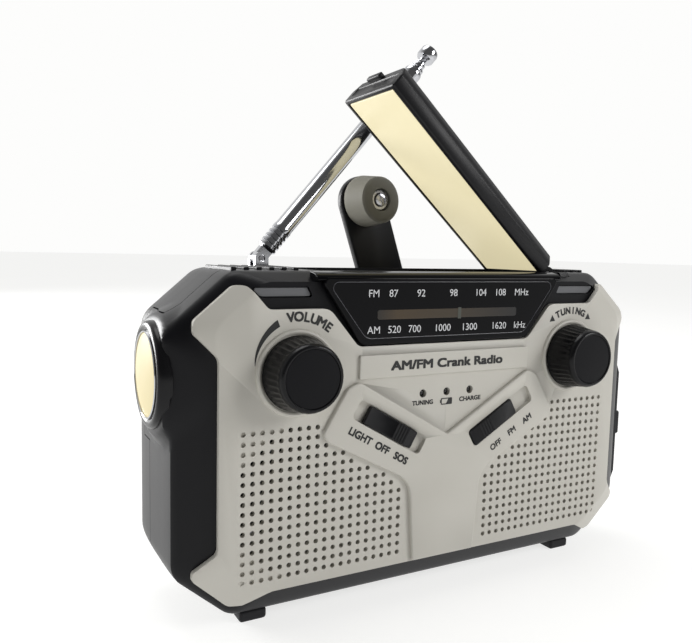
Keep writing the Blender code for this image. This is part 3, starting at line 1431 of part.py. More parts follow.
def build():
    front_housing()
    rear_housing()
    battery_door()
    feet()
    housing_screws()
    front_panel()
    dial()
    control_knob("volume_knob", -1)
    control_knob("tuning_knob", 1)
    control_shaft("volume_shaft", -1)
    control_shaft("tuning_shaft", 1)
    volume_control()
    tuning_capacitor()
    slider("light_switch", -1, 0.0)
    slider("band_switch", 1, -SLIDER_TRAVEL)
    switch_board()
    indicator_leds()
    main_board()
    speaker()
    battery_cell()
    usb_socket()
    flashlight()
    lamp_tray()
    lamp_hinge_pin()
    lamp_bar()
    antenna_base()
    antenna_pin()
    antenna_sections()
    crank()
    crank_gear()
    idler_gear()
    dynamo()
    port_cover()


build()
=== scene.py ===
"""Hand-crank emergency radio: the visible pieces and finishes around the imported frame."""
import bpy
import bmesh
import math
import numpy as np
from mathutils import Matrix, Vector


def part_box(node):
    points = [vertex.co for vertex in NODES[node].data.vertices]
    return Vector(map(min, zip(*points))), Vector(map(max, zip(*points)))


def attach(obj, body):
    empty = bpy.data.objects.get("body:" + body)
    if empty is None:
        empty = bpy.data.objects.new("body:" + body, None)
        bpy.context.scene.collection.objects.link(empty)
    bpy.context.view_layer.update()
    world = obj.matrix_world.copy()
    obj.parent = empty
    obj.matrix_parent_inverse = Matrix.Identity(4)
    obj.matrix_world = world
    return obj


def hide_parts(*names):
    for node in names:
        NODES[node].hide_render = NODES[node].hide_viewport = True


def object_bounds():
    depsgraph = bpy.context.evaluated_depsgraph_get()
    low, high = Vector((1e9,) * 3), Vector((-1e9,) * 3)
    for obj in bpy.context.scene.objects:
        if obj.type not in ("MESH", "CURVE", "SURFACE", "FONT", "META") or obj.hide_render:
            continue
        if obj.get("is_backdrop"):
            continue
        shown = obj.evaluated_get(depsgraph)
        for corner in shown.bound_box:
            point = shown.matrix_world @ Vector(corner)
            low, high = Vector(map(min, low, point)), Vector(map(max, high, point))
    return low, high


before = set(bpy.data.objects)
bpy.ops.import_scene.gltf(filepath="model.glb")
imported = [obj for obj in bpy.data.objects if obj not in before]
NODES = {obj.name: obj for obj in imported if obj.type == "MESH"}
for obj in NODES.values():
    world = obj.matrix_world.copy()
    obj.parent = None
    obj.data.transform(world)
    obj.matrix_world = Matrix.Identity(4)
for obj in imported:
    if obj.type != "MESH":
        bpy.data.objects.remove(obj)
cad_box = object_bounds()

MM = 0.001


# --- Places taken from the frame, in millimetres ------------------------------------------------


def span(node):
    """Lowest and highest corner of a CAD node at rest, in millimetres."""
    low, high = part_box(node)
    return np.array(low) / MM, np.array(high) / MM


def middle(node):
    """The centre of a CAD node's box at rest, in millimetres."""
    low, high = span(node)
    return (low + high) / 2


PLATE_LIFT = 1.2
FACE_Y = span("front_panel")[0][1] + PLATE_LIFT
HALF = span("rear_housing")[1][0]
LOW = span("front_housing")[0][2]
TOP = span("front_housing")[1][2] - 1.2  # the crown between the moulded ribs
BACK = span("rear_housing")[1][1] - FACE_Y
WALL = 2.0
SKIN_FRONT = 1.8
SHAFT_HOLE = 4.2
PIN_BORE = 1.5
INK = 0.03
KNOB_X = middle("tuning_knob")[0]
KNOB_Z = middle("tuning_knob")[2]
SLOT_X = middle("light_switch")[0]
SLOT_Z = middle("light_switch")[2]
SLOT_TILT = 30.0
LED_Z = middle("battery_led")[2]
LED_SPACING = middle("charge_led")[0]
DIAL_LOW = span("dial_window")[0][2]
DIAL_HIGH = span("dial_window")[1][2]
FLASH_Y = middle("flashlight_bezel")[1]
FLASH_Z = middle("flashlight_bezel")[2]
HINGE = middle("lamp_hinge_pin")
LAMP_TURN = 41.56
MAST_TURN = -48.9
MAST = middle("antenna_pin")
CRANK_TURN = -18.8
CRANK = np.array([middle("crank_gear")[0], FACE_Y + BACK, middle("crank_gear")[2]])
FOLD = 14.5
CRANK_REACH = 52.0


def at(depth):
    """World Y of a depth behind the panel's face."""
    return FACE_Y + depth


# --- Surfaces as arrays ---------------------------------------------------------------------------


def lengths(vectors):
    """The length of each vector: the root of its summed squares."""
    return np.sqrt((vectors**2).sum(axis=-1, keepdims=True))


def outline(corners, steps=6):
    """Closed outline: each (x, z, radius) corner becomes an arc that touches both its edges."""
    given = np.array(corners, float)
    here, radius = given[:, :2], given[:, 2:]
    before = np.roll(here, 1, axis=0) - here
    after = np.roll(here, -1, axis=0) - here
    limit = 0.49 * np.minimum(lengths(before), lengths(after))
    before, after = before / lengths(before), after / lengths(after)
    half = np.arccos((before * after).sum(axis=1, keepdims=True)) / 2
    reach = np.minimum(radius / np.tan(half), limit)
    fitted = reach * np.tan(half)
    bisector = (before + after) / lengths(before + after)
    centre = here + bisector * fitted / np.sin(half)
    first = here + before * reach - centre
    last = here + after * reach - centre
    start = np.arctan2(first[:, 1], first[:, 0])
    sweep = np.arctan2(last[:, 1], last[:, 0]) - start
    sweep = (sweep + math.pi) % (2 * math.pi) - math.pi
    turn = start[:, None] + sweep[:, None] * np.linspace(0, 1, steps + 1)
    arcs = centre[:, None, :] + fitted[:, None, :] * np.stack([np.cos(turn), np.sin(turn)], axis=-1)
    return arcs


def flat(arcs):
    """The arcs' points as one closed run of (x, z)."""
    return arcs.reshape(-1, 2)


def rounded_box(left, low, right, high, radius):
    """The outline of a rectangle with round corners."""
    corners = ((left, low), (right, low), (right, high), (left, high))
    return flat(outline([(x, z, radius) for x, z in corners]))


def dense(arcs, per_edge):
    """The same outline with its straight runs divided evenly, as many parts on each."""
    start = arcs[:, -1]
    end = np.roll(arcs[:, 0], -1, axis=0)
    share = np.linspace(0, 1, per_edge + 1)[1:-1]
    runs = start[:, None] + (end - start)[:, None] * share[:, None]
    return np.concatenate([arcs, runs], axis=1).reshape(-1, 2)


def mirrored(half):
    """A right-hand half outline, bottom to top, joined to its mirror image."""
    return list(half) + [(-x, z, radius) for x, z, radius in reversed(half) if x > 0]


def grid_quads(rows, columns, wrap=True):
    """Quads of a grid whose columns close on themselves when wrapped."""
    across = columns if wrap else columns - 1
    row, column = np.meshgrid(np.arange(rows - 1), np.arange(across), indexing="ij")
    here = row * columns + column
    beside = row * columns + (column + 1) % columns
    return np.stack([here, beside, beside + columns, here + columns], axis=-1).reshape(-1, 4)


def piece(name, points, faces, material=None, smooth=32):
    """A closed mesh from millimetre points, its faces turned outwards."""
    mesh = bpy.data.meshes.new(name)
    mesh.from_pydata((np.asarray(points, float) * MM).tolist(), [], [list(face) for face in faces])
    bm = bmesh.new()
    bm.from_mesh(mesh)
    bmesh.ops.remove_doubles(bm, verts=bm.verts, dist=1e-7)
    bmesh.ops.recalc_face_normals(bm, faces=bm.faces)
    bm.to_mesh(mesh)
    bm.free()
    obj = bpy.data.objects.new(name, mesh)
    bpy.context.scene.collection.objects.link(obj)
    if material is not None:
        mesh.materials.append(material)
    return shaded(obj, smooth)


def shaded(obj, smooth=32):
    """Smooth shading, kept sharp where faces turn by more than an angle."""
    obj.data.shade_smooth()
    obj.data.set_sharp_from_angle(angle=math.radians(smooth))
    return obj


def loft(name, rings, material=None, smooth=32):
    """Rings of equal count joined in order, with a face over the first and the last."""
    rings = np.asarray(rings, float)
    rows, columns = rings.shape[:2]
    faces = grid_quads(rows, columns).tolist()
    caps = [list(range(columns)), list(range((rows - 1) * columns, rows * columns))]
    return piece(name, rings.reshape(-1, 3), faces + caps, material, smooth)


def slab(name, shape, near, far, material=None, smooth=32):
    """A flat outline in X and Z carried between two values of Y."""
    rings = [np.column_stack([shape[:, 0], np.full(len(shape), y), shape[:, 1]]) for y in (near, far)]
    return loft(name, rings, material, smooth)


def plate(name, shape, near, far, material=None, smooth=32):
    """A slab between two depths behind the panel's face."""
    return slab(name, shape, at(near), at(far), material, smooth)


def block(name, low, high, material=None):
    """A block between two corners."""
    (x0, y0, z0), (x1, y1, z1) = low, high
    rings = [[(x0, y, z0), (x1, y, z0), (x1, y, z1), (x0, y, z1)] for y in (y0, y1)]
    return loft(name, rings, material)


def lathe(name, profile, base, direction, material=None, sides=64, ring=False, smooth=32, flute=None):
    """(radius, height) points turned about an axis; flute(angle, height) takes a little off the radius."""
    profile = np.array(profile, float)
    if ring:
        profile = np.vstack([profile, profile[:1]])
    angle = np.arange(sides) * 2 * math.pi / sides
    radius = np.repeat(profile[:, :1], sides, axis=1)
    if flute is not None:
        radius = radius - flute(angle[None, :], profile[:, 1:])
    height = np.repeat(profile[:, 1:], sides, axis=1)
    points = np.stack([radius * np.cos(angle), radius * np.sin(angle), height], axis=-1).reshape(-1, 3)
    turn = np.array(Vector((0, 0, 1)).rotation_difference(Vector(direction)).to_matrix())
    points = points @ turn.T + np.asarray(base, float)
    return piece(name, points, grid_quads(len(profile), sides).tolist(), material, smooth)


def rod(name, radius, start, end, sides=32):
    """A round bar between two points."""
    start, end = np.array(start, float), np.array(end, float)
    length = float(np.linalg.norm(end - start))
    profile = [(0, length), (radius, length), (radius, 0), (0, 0)]
    return lathe(name, profile, start, (end - start) / length, sides=sides)


def bead_along(name, path, radius, material, sides=8):
    """A round bead carried along a closed path of points, square to its direction."""
    along = np.roll(path, -1, axis=0) - np.roll(path, 1, axis=0)
    along = along / lengths(along)
    side = np.cross(along, np.array([0.0, 1.0, 0.0]))
    side = side / lengths(side)
    up = np.cross(side, along)
    angle = (np.arange(sides) * 2 * math.pi / sides)[None, :, None]
    rings = path[:, None] + radius * (np.cos(angle) * side[:, None] + np.sin(angle) * up[:, None])
    rings = np.concatenate([rings, rings[:1]])
    return piece(name, rings.reshape(-1, 3), grid_quads(len(rings), sides).tolist(), material)


def place(obj, origin, degrees):
    """Moves a finished mesh's points by the same turn and shift."""
    turn = Matrix.Translation(Vector(origin) * MM) @ Matrix.Rotation(math.radians(degrees), 4, "Y")
    obj.data.transform(turn)
    return obj


def apply_all(obj):
    """Writes an object's modifiers into its mesh."""
    graph = bpy.context.evaluated_depsgraph_get()
    made = bpy.data.meshes.new_from_object(obj.evaluated_get(graph))
    obj.modifiers.clear()
    old = obj.data
    obj.data = made
    bpy.data.meshes.remove(old)
    return obj


def combine(operation, obj, *others):
    """A Boolean with each of the others in turn, written into the mesh."""
    for other in others:
        step = obj.modifiers.new("combine", "BOOLEAN")
        step.operation = operation
        step.solver = "EXACT"
        step.object = other
        apply_all(obj)
        bpy.data.objects.remove(other)
    return obj


def cut(obj, *others):
    """Takes the others out of a piece."""
    return combine("DIFFERENCE", obj, *others)


def join(obj, *others):
    """Makes one solid of a piece and the others."""
    return combine("UNION", obj, *others)


def softened(obj, width, segments=3, angle=38):
    """Rounds the edges that turn by more than an angle."""
    step = obj.modifiers.new("edges", "BEVEL")
    step.width = width * MM
    step.segments = segments
    step.limit_method = "ANGLE"
    step.angle_limit = math.radians(angle)
    step.harden_normals = True
    obj.data.shade_smooth()
    return apply_all(obj)


def settle(obj, body, *nodes):
    """The piece rides on a body and stands for CAD nodes."""
    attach(obj, body)
    if nodes:
        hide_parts(*nodes)
    return obj


# --- Materials ------------------------------------------------------------------------------------


def linear(colour):
    """An sRGB hex colour as linear RGBA."""
    channels = np.array([int(colour[i : i + 2], 16) for i in (1, 3, 5)]) / 255
    low = channels / 12.92
    high = ((channels + 0.055) / 1.055) ** 2.4
    return (*np.where(channels <= 0.04045, low, high).tolist(), 1.0)


def add(tree, kind, values=None, links=None, **settings):
    """A shader node with its settings, its inputs' values, and its inputs' links."""
    made = tree.nodes.new("ShaderNode" + kind)
    for key, value in settings.items():
        setattr(made, key, value)
    for key, value in (values or {}).items():
        made.inputs[key].default_value = value
    for key, source in (links or {}).items():
        tree.links.new(source, made.inputs[key])
    return made


def start(name, **shader):
    """A new material: its tree, its shader with the given inputs, and its Object coordinates."""
    made = bpy.data.materials.new(name)
    made.use_nodes = True
    tree = made.node_tree
    main = tree.nodes["Principled BSDF"]
    for key, value in shader.items():
        main.inputs[key.replace("_", " ")].default_value = value
    coordinates = add(tree, "TexCoord").outputs["Object"]
    return made, tree, main, coordinates


def mottled(tree, main, coordinates, tones, size, roughness):
    """Two close tones in soft patches of a size in millimetres, which also vary the roughness."""
    patches = add(tree, "TexNoise", {"Scale": 1000 / size, "Detail": 4}, {"Vector": coordinates})
    share = patches.outputs[0]
    pair = {"A": linear(tones[0]), "B": linear(tones[1])}
    tone = add(tree, "Mix", pair, {"Factor": share}, data_type="RGBA")
    tree.links.new(tone.outputs["Result"], main.inputs["Base Color"])
    spread = add(tree, "MapRange", {"To Min": roughness[0], "To Max": roughness[1]}, {"Value": share})
    tree.links.new(spread.outputs[0], main.inputs["Roughness"])
    return patches


def grained(tree, main, coordinates, size, height, stretch=(1, 1, 1)):
    """A fine relief: grains of a size and a height in millimetres, longer where stretched."""
    scale = tuple(1 / s for s in stretch)
    mapping = add(tree, "Mapping", {"Scale": scale}, {"Vector": coordinates})
    grain = add(tree, "TexNoise", {"Scale": 1000 / size, "Detail": 3}, {"Vector": mapping.outputs[0]})
    bump = add(tree, "Bump", {"Distance": height * MM, "Strength": 1.0}, {"Height": grain.outputs[0]})
    tree.links.new(bump.outputs[0], main.inputs["Normal"])
    return bump


def moulded(name, tones, roughness, size=0.45, height=0.012, **shader):
    """Moulded plastic: two close tones and a fine spark-eroded grain."""
    made, tree, main, coordinates = start(name, **shader)
    mottled(tree, main, coordinates, tones, 14, roughness)
    grained(tree, main, coordinates, size, height)
    return made


def metal(name, tones, roughness, size=0.5, height=0.004, stretch=(1, 1, 1)):
    """Metal: faint cloudy tone and fine marks along its working direction."""
    made, tree, main, coordinates = start(name, Metallic=1.0)
    mottled(tree, main, coordinates, tones, 9, roughness)
    grained(tree, main, coordinates, size, height, stretch)
    return made


def lit(name, tones, glow, strength, size=18, **shader):
    """Milky plastic lit from behind: soft brighter and dimmer patches that shine."""
    made, tree, main, coordinates = start(name, Roughness=0.4, **shader)
    patches = mottled(tree, main, coordinates, tones, size, (0.35, 0.5))
    pair = {"A": linear(glow[0]), "B": linear(glow[1])}
    shine = add(tree, "Mix", pair, {"Factor": patches.outputs[0]}, data_type="RGBA")
    tree.links.new(shine.outputs["Result"], main.inputs["Emission Color"])
    main.inputs["Emission Strength"].default_value = strength
    return made


# Black ABS, moulded with a fine spark-eroded texture: a soft sheen that whitens at the edges
BLACK_ABS = moulded("black_abs", ("#101013", "#151518"), (0.3, 0.38), Specular_IOR_Level=0.16)
# The same ABS on moving plastic parts, a little greyer where fingers rub it
HANDLED_ABS = moulded("handled_black_abs", ("#131315", "#1A1A1C"), (0.34, 0.46), Specular_IOR_Level=0.2)
# Light grey ABS, fine matt texture: warm in its thin shadows
GREY_ABS = moulded("warm_grey_abs", ("#BDBAB1", "#C4C1B9"), (0.42, 0.5), 0.5, 0.01)
# Black acrylic, polished in its mould: mirror-like with a faint waviness
BLACK_ACRYLIC = moulded(
    "black_acrylic", ("#060608", "#08080B"), (0.06, 0.09), 12, 0.003, Specular_IOR_Level=0.12
)
# Black plastic of the knobs' caps, polished: narrow, soft-edged highlights
GLOSS_CAP = moulded(
    "polished_black_plastic", ("#0D0D0F", "#121214"), (0.2, 0.28), 0.6, 0.004, Specular_IOR_Level=0.2
)
# Matt black plastic of the knobs' faces: even, with no clear highlight
MATT_FACE = moulded("matt_black_plastic", ("#0E0E11", "#121215"), (0.42, 0.5), Specular_IOR_Level=0.12)
# Dark grey satin strip in the recess of the rim: its grey colour is a painted sheen, the wide pale sheen of
# the recess
SHEEN_PAINTED_BAND = moulded("dark_abs_painted_sheen", ("#5E5F62", "#67686B"), (0.34, 0.42))
# Silicone rubber: dull, with a dusty bloom
RUBBER = moulded("black_rubber", ("#17171A", "#1F1F22"), (0.6, 0.75), 0.8, 0.02, Specular_IOR_Level=0.3)
# Grey polypropylene grip of the crank, moulded matt: waxy, with almost no highlight
GRIP = moulded("grey_grip_plastic", ("#6A685F", "#727067"), (0.55, 0.65), Specular_IOR_Level=0.08)
# Screen-printed inks: flat and opaque
BLACK_INK = moulded("black_ink", ("#1A1A1A", "#202020"), (0.5, 0.6), 0.3, 0.002)
WHITE_INK = moulded("white_ink", ("#C9CACC", "#D6D7D9"), (0.5, 0.6), 0.3, 0.002)
# Chromed brass tube, drawn: very bright with faint lines along it
CHROME = metal("chrome_plate", ("#B4B5B9", "#C3C4C7"), (0.08, 0.14), 0.6, 0.001)
# Nickel-plated steel of pins and screws: bright, slightly clouded
STEEL = metal("plated_steel", ("#A9A9AC", "#B8B8BB"), (0.22, 0.34), 0.3, 0.004)
# White acetal of the gears, moulded: creamy, with a low sheen
ACETAL = moulded("white_acetal", ("#DAD8CE", "#E2E0D8"), (0.35, 0.45))
# Milky polystyrene diffuser with the lamp's warm LEDs behind it: a soft, cloudy shine
DIFFUSER = lit("lit_diffuser", ("#8F886E", "#968F76"), ("#E6DBB2", "#EBE1BC"), 0.75)
# Flashlight lens with a warm beam behind it: even and bright across
LENS = lit("lit_lens", ("#5A5644", "#625E4C"), ("#EEDDA8", "#F4E8C0"), 0.8, Specular_IOR_Level=0.05)


# --- Body shells ----------------------------------------------------------------------------------

CORNER_RUN = 15.0
CORNER_RISE = 13.0
CORNER_ROUND = 7.0
BOSS_RADIUS = 18.2
BOSS_FADE = 3.4
BOSS_RISE = 1.9
SEAM_DEPTH = 27.0
SEAM_BEHIND_LAMP = 33.0
SEAM_ABOVE_LAMP = 15.5
SEAM_LOW, SEAM_HIGH = 46.0, 80.5
SPEAKER_X, SPEAKER_Z = -42.0, 33.2
SPEAKER_HOLE = 17.1
TRAY_LOW, TRAY_HIGH = span("lamp_tray")
TRAY_HIGH = TRAY_HIGH * (1, 1, 0) + (0, 0, TOP)
GAP = 0.3


def skin_profile(count):
    """The body from front to back: depth, then how far its side, base and top, and its corner's
    run and rise, are drawn in there. The corners between stations are cut off twice."""
    line = np.array(
        [
            (SKIN_FRONT, 9.6, 7.7, 2.7, 3.0, 2.5),
            (6.2, 0.6, 0.6, 0.5, 0, 0),
            (7.4, 0, 0, 0, 0, 0),
            (BACK - 6.0, 0, 0, 0, 0, 0),
            (BACK - 2.3, 1.4, 1.3, 1.3, 0, 0),
            (BACK, 5.5, 5.4, 5.4, 2.0, 2.0),
        ]
    )
    for _ in range(2):
        near = line[:-1] * 0.75 + line[1:] * 0.25
        far = line[:-1] * 0.25 + line[1:] * 0.75
        line = np.vstack([line[:1], np.stack([near, far], axis=1).reshape(-1, 6), line[-1:]])
    steps = np.hypot(np.diff(line[:, 0]), np.diff(line[:, 1]))
    along = np.concatenate([[0], np.cumsum(steps)])
    places = np.linspace(0, along[-1], count)
    return np.column_stack([np.interp(places, along, column) for column in line.T])


def octagon(side, base, top, run, rise, wall=0.0):
    """The body's rounded octagon, drawn in by those amounts and by a wall."""
    half, low, high = HALF - side - wall, LOW + base + wall, TOP - top - wall
    run, rise = CORNER_RUN - run - 0.4 * wall, CORNER_RISE - rise - 0.4 * wall
    corners = [(half - run, low), (half, low + rise), (half, high - rise), (half - run, high)]
    right = [(x, z, CORNER_ROUND) for x, z in corners]
    left = [(-x, z, CORNER_ROUND) for x, z in reversed(corners)]
    return outline(right + left)


def body_skin(name, shift=0.0, wall=0.0, count=46, per_edge=40):
    """The closed body: octagons along the profile, moved forward by a shift; the flashlight's
    boss swells the left side smoothly around its axis."""
    profile = skin_profile(count)
    rings = []
    for depth, *drawn in profile:
        ring = dense(octagon(*drawn, wall), per_edge)
        rings.append(np.column_stack([ring[:, 0], np.full(len(ring), at(depth - shift)), ring[:, 1]]))
    rings = np.array(rings)
    if wall:
        rings[:, :, 1] = np.clip(rings[:, :, 1], at(SKIN_FRONT + wall), at(BACK - wall))
        rings = rings[(profile[:, 0] > SKIN_FRONT + wall) & (profile[:, 0] < BACK - wall)]
        return loft(name, rings)
    reach = np.hypot(rings[:, :, 1] - FLASH_Y, rings[:, :, 2] - FLASH_Z)
    swell = np.clip((BOSS_RADIUS - reach) / BOSS_FADE, 0, 1)
    swell = swell * swell * (3 - 2 * swell)
    left = np.clip((-rings[:, :, 0] - HALF + 12.0) / 10.0, 0, 1)
    rings[:, :, 0] -= BOSS_RISE * swell * left
    return loft(name, rings)


def seam_region(name, shift, far):
    """Everything on one side of the parting line, which steps back behind the flashlight."""
    low, high = SEAM_LOW - shift, SEAM_HIGH + shift
    line = [
        (SEAM_DEPTH + shift, LOW - 20),
        (SEAM_DEPTH + shift, low),
        (SEAM_BEHIND_LAMP + shift, low),
        (SEAM_BEHIND_LAMP + shift, high),
        (SEAM_ABOVE_LAMP + shift, high),
        (SEAM_ABOVE_LAMP + shift, TOP + 20),
        (far, TOP + 20),
        (far, LOW - 20),
    ]
    rings = [[(x, at(depth), z) for depth, z in line] for x in (-HALF - 20, HALF + 20)]
    return loft(name, rings)


def merged(name, *parts):
    """Separate closed cutters as one mesh."""
    bm = bmesh.new()
    for part in parts:
        bm.from_mesh(part.data)
        bpy.data.objects.remove(part)
    mesh = bpy.data.meshes.new(name)
    bm.to_mesh(mesh)
    bm.free()
    obj = bpy.data.objects.new(name, mesh)
    bpy.context.scene.collection.objects.link(obj)
    return obj


def through(name, radius, x, z, near, far, sides=24):
    """A round cutter along the depth."""
    return rod(name, radius, (x, at(near), z), (x, at(far), z), sides=sides)


def tilted(length, width, radius, x, z, degrees):
    """A rounded rectangle centred on a place of the front and tilted there."""
    half, rise = length / 2, width / 2
    shape = rounded_box(-half, -rise, half, rise, radius)
    angle = math.radians(degrees)
    turn = np.array([[math.cos(angle), math.sin(angle)], [-math.sin(angle), math.cos(angle)]])
    return shape @ turn + (x, z)


def tray_opening(name):
    """The lamp tray's box with a gap all round, open at the top."""
    low = TRAY_LOW - (GAP, GAP, 4.0)
    high = TRAY_HIGH + (GAP, GAP, 10.0)
    return block(name, low, high)


def rim_recess(name, side):
    """The sunk satin band between the panel's ear and the dial, on one side of the rim."""
    corners = [(41.0, 84.9, 0.6), (55.2, 84.9, 2.0), (57.8, 87.6, 0.6), (42.4, 87.6, 0.6)]
    shape = flat(outline(corners, 4)) * (side, 1)
    return plate(name, shape if side > 0 else shape[::-1], 0.0, 2.9)


def screw_places():
    """The centres of the four housing screws."""
    names = ("low_left_screw", "low_right_screw", "top_left_screw", "top_right_screw")
    return [middle(name) for name in names]


def screw_bars(name, radius, near, far, sides=32):
    """A round bar on the axis of each housing screw, between two depths."""
    bars = enumerate(screw_places())
    return [through(f"{name}_{i}", radius, x, z, near, far, sides) for i, (x, _, z) in bars]


def front_shell():
    """The body skin in front of the parting line, hollowed, with its openings and screw posts."""
    shell = body_skin("front_shell")
    cut(shell, body_skin("front_cavity", wall=WALL, per_edge=6))
    combine("INTERSECT", shell, seam_region("front_region", -0.14, -20.0))
    cutters = [tray_opening("tray_mouth")]
    start = (-HALF - 6, FLASH_Y, FLASH_Z)
    cutters.append(rod("flashlight_mouth", 12.3, start, (-HALF + 6, FLASH_Y, FLASH_Z), sides=64))
    for side in (-1, 1):
        cutters.append(rim_recess(f"rim_recess_{side}", side))
        cutters.append(through(f"shaft_mouth_{side}", SHAFT_HOLE, side * KNOB_X, KNOB_Z, 0.5, 5.0))
        stem = tilted(10.6, 2.8, 0.4, side * abs(SLOT_X), SLOT_Z, side * SLOT_TILT)
        cutters.append(plate(f"stem_mouth_{side}", stem, 0.5, 5.0))
    cutters += [through(f"led_mouth_{i}", 1.4, i * LED_SPACING, LED_Z, 0.5, 5.0, 12) for i in (-1, 0, 1)]
    cutters.append(through("speaker_mouth", SPEAKER_HOLE, SPEAKER_X, SPEAKER_Z, 0.5, 5.0, 48))
    socket = span("usb_socket")
    cutters.append(block("socket_mouth", socket[0] - (-5, 0.3, 0.3), socket[1] + (3, 0.3, 0.3)))
    cut(shell, merged("front_cutters", *cutters))
    join(shell, *screw_bars("front_post", 3.0, 3.4, 29.6))
    shell.data.materials.append(BLACK_ABS)
    settle(shaded(shell, 28), "radio", "front_housing")


def rear_shell():
    """The body skin behind the parting line, hollowed, with its openings, posts and antenna groove."""
    shell = body_skin("rear_shell")
    cut(shell, body_skin("rear_cavity", wall=WALL, per_edge=6))
    combine("INTERSECT", shell, seam_region("rear_region", 0.14, BACK + 20))
    mast_x, mast_y, mast_z = MAST
    rib = block("antenna_rib", (mast_x - 9, at(33.4), TOP - 5.7), (mast_x + 99, at(BACK - 2.5), TOP - 1.6))
    join(shell, rib, *screw_bars("rear_post", 4.2, 30.4, BACK - 1.4))
    door_low, door_high = span("battery_door")
    cutters = [
        tray_opening("tray_mouth_rear"),
        block("door_mouth", door_low - (0.3, 1.5, 0.3), door_high + (0.3, 2.0, 0.3)),
        through("crank_mouth", 4.0, CRANK[0], CRANK[2], BACK - 3.5, BACK + 1),
    ]
    cutters += screw_bars("head_mouth", 3.0, BACK - 2.7, BACK + 1, 24)
    cut(shell, merged("rear_cutters", *cutters))
    groove_ends = [(mast_x + reach, mast_y, mast_z) for reach in (2.5, 97)]
    groove = rod("antenna_groove", 3.35, *groove_ends, sides=40)
    seat = rod("antenna_seat", 3.6, (mast_x, mast_y, mast_z - 3.4), (mast_x, mast_y, TOP + 6), sides=40)
    hole = rod("antenna_hole", 2.9, (mast_x, mast_y, TOP - 12), (mast_x, mast_y, TOP + 6), sides=32)
    cut(shell, groove, seat, hole)
    cut(shell, merged("rear_bores", *screw_bars("screw_bore", 1.5, 29.0, BACK + 1, 12)))
    shell.data.materials.append(BLACK_ABS)
    settle(shaded(shell, 28), "radio", "rear_housing")


def rim_bands():
    """A grey strip on the floor of each recess in the rim, its colour a painted sheen."""
    for side, name in ((-1, "left"), (1, "right")):
        corners = [(41.3, 85.2, 0.4), (55.0, 85.2, 1.8), (57.2, 87.3, 0.4), (42.5, 87.3, 0.4)]
        shape = flat(outline(corners, 4)) * (side, 1)
        # the strip's grey paints the sheen of the recess's floor
        strip = plate(f"painted_sheen_band_{name}", shape if side > 0 else shape[::-1], 2.5, 3.2, SHEEN_PAINTED_BAND)
        settle(strip, "radio")


def top_ribs():
    """Raised bars across the top, beside the lamp on the right and before the antenna on the left."""
    for side, first, last in (("left", -60.0, -42.5), ("right", 51.5, 60.0)):
        for i, x in enumerate(np.arange(first, last, 3.4)):
            low, high = (x, at(9.5), TOP - 0.6), (x + 1.5, at(30.5), TOP + 0.65)
            bar = block(f"top_rib_{side}_{i}", low, high, BLACK_ABS)
            settle(softened(bar, 0.3, 2), "radio")


# --- Front panel ------------------------------------------------------------------------------------

GRILLE_PITCH = 2.5
GRILLE_TOP = 52.0
GRILLE_HOLE = 0.66
LAST_COLUMNS = (8, 8, 9, 11, 12, 14, 16, 17) + (18,) * 8


def grille_places():
    """Hole centres on both sides, and which of them are only dimples outside the speaker's circle."""
    column, row = np.array([(i, j) for j, last in enumerate(LAST_COLUMNS) for i in range(last + 1)]).T
    x, z = (column - 24) * GRILLE_PITCH, GRILLE_TOP - row * GRILLE_PITCH
    corner = (np.hypot(column - 7, row - 7.5) > 7.85) & (column < 7)
    centres = np.concatenate([np.column_stack([x, z]), np.column_stack([-x, z])])
    return centres, np.concatenate([corner, column == 0])


def hole_cutter(name, centres, far, sides=12):
    """One mesh of many small prisms, each from in front of the panel to a depth."""
    angle = (np.arange(sides) + 0.5) * 2 * math.pi / sides
    rim = GRILLE_HOLE * np.column_stack([np.cos(angle), np.sin(angle)])
    spots = centres[:, None, :] + rim
    x, z = spots[:, :, :1], spots[:, :, 1:]
    near = np.concatenate([x, np.full(x.shape, at(-0.6)), z], axis=-1)
    back = near.copy()
    back[:, :, 1] = at(far)
    points = np.concatenate([near, back], axis=1).reshape(-1, 3)
    first = np.arange(len(centres))[:, None] * 2 * sides
    step = np.arange(sides)
    quads = np.stack([step, (step + 1) % sides, (step + 1) % sides + sides, step + sides], axis=-1)
    walls = (first[:, :, None] + quads).reshape(-1, 4).tolist()
    caps = (first + step).tolist() + (first + step + sides).tolist()
    return piece(name, points, walls + caps)


def panel_outline():
    """The panel's outline, held in from the body's sides and stepped down below the dial."""
    return mirrored(
        [
            (HALF - 23.5, LOW + 7.9, 4),
            (HALF - 17.0, LOW + 4.5, 2.5),
            (HALF - 13.5, LOW + 4.5, 2.5),
            (HALF - 4.4, LOW + 12.9, 2),
            (HALF - 4.4, LOW + 15.1, 1.5),
            (HALF - 9.9, LOW + 20.1, 3),
            (HALF - 9.9, TOP - 20.9, 3),
            (HALF - 4.4, TOP - 14.9, 1.5),
            (HALF - 4.6, TOP - 12.0, 2),
            (HALF - 14.4, TOP - 3.6, 3),
            (HALF - 17.2, TOP - 3.6, 2.0),
            (HALF - 22.4, TOP - 9.4, 2.5),
            (37.2, TOP - 9.4, 4),
            (28.6, DIAL_LOW - 0.4, 3),
        ]
    )


def plate_outline():
    """The raised plate with two arms that carries the switches, as a V at its top."""
    return mirrored(
        [
            (10.4, 11.4, 0.5),
            (12.2, 34.6, 8),
            (37.6, 47.9, 1.5),
            (38.9, 50.2, 2),
            (32.0, 61.5, 2.5),
            (28.6, 63.0, 2.5),
            (0, 46.5, 0.6),
        ]
    )


def collar(side):
    """The raised ring around a knob: a half-round band on the panel."""
    profile = [(11.1, -0.4), (11.1, 0.25), (10.8, 0.62), (10.35, 0.75), (9.95, 0.55), (9.8, 0.1), (9.8, -0.4)]
    base = (side * KNOB_X, at(0), KNOB_Z)
    return lathe(f"collar_{side}", profile, base, (0, -1, 0), sides=72, ring=True)


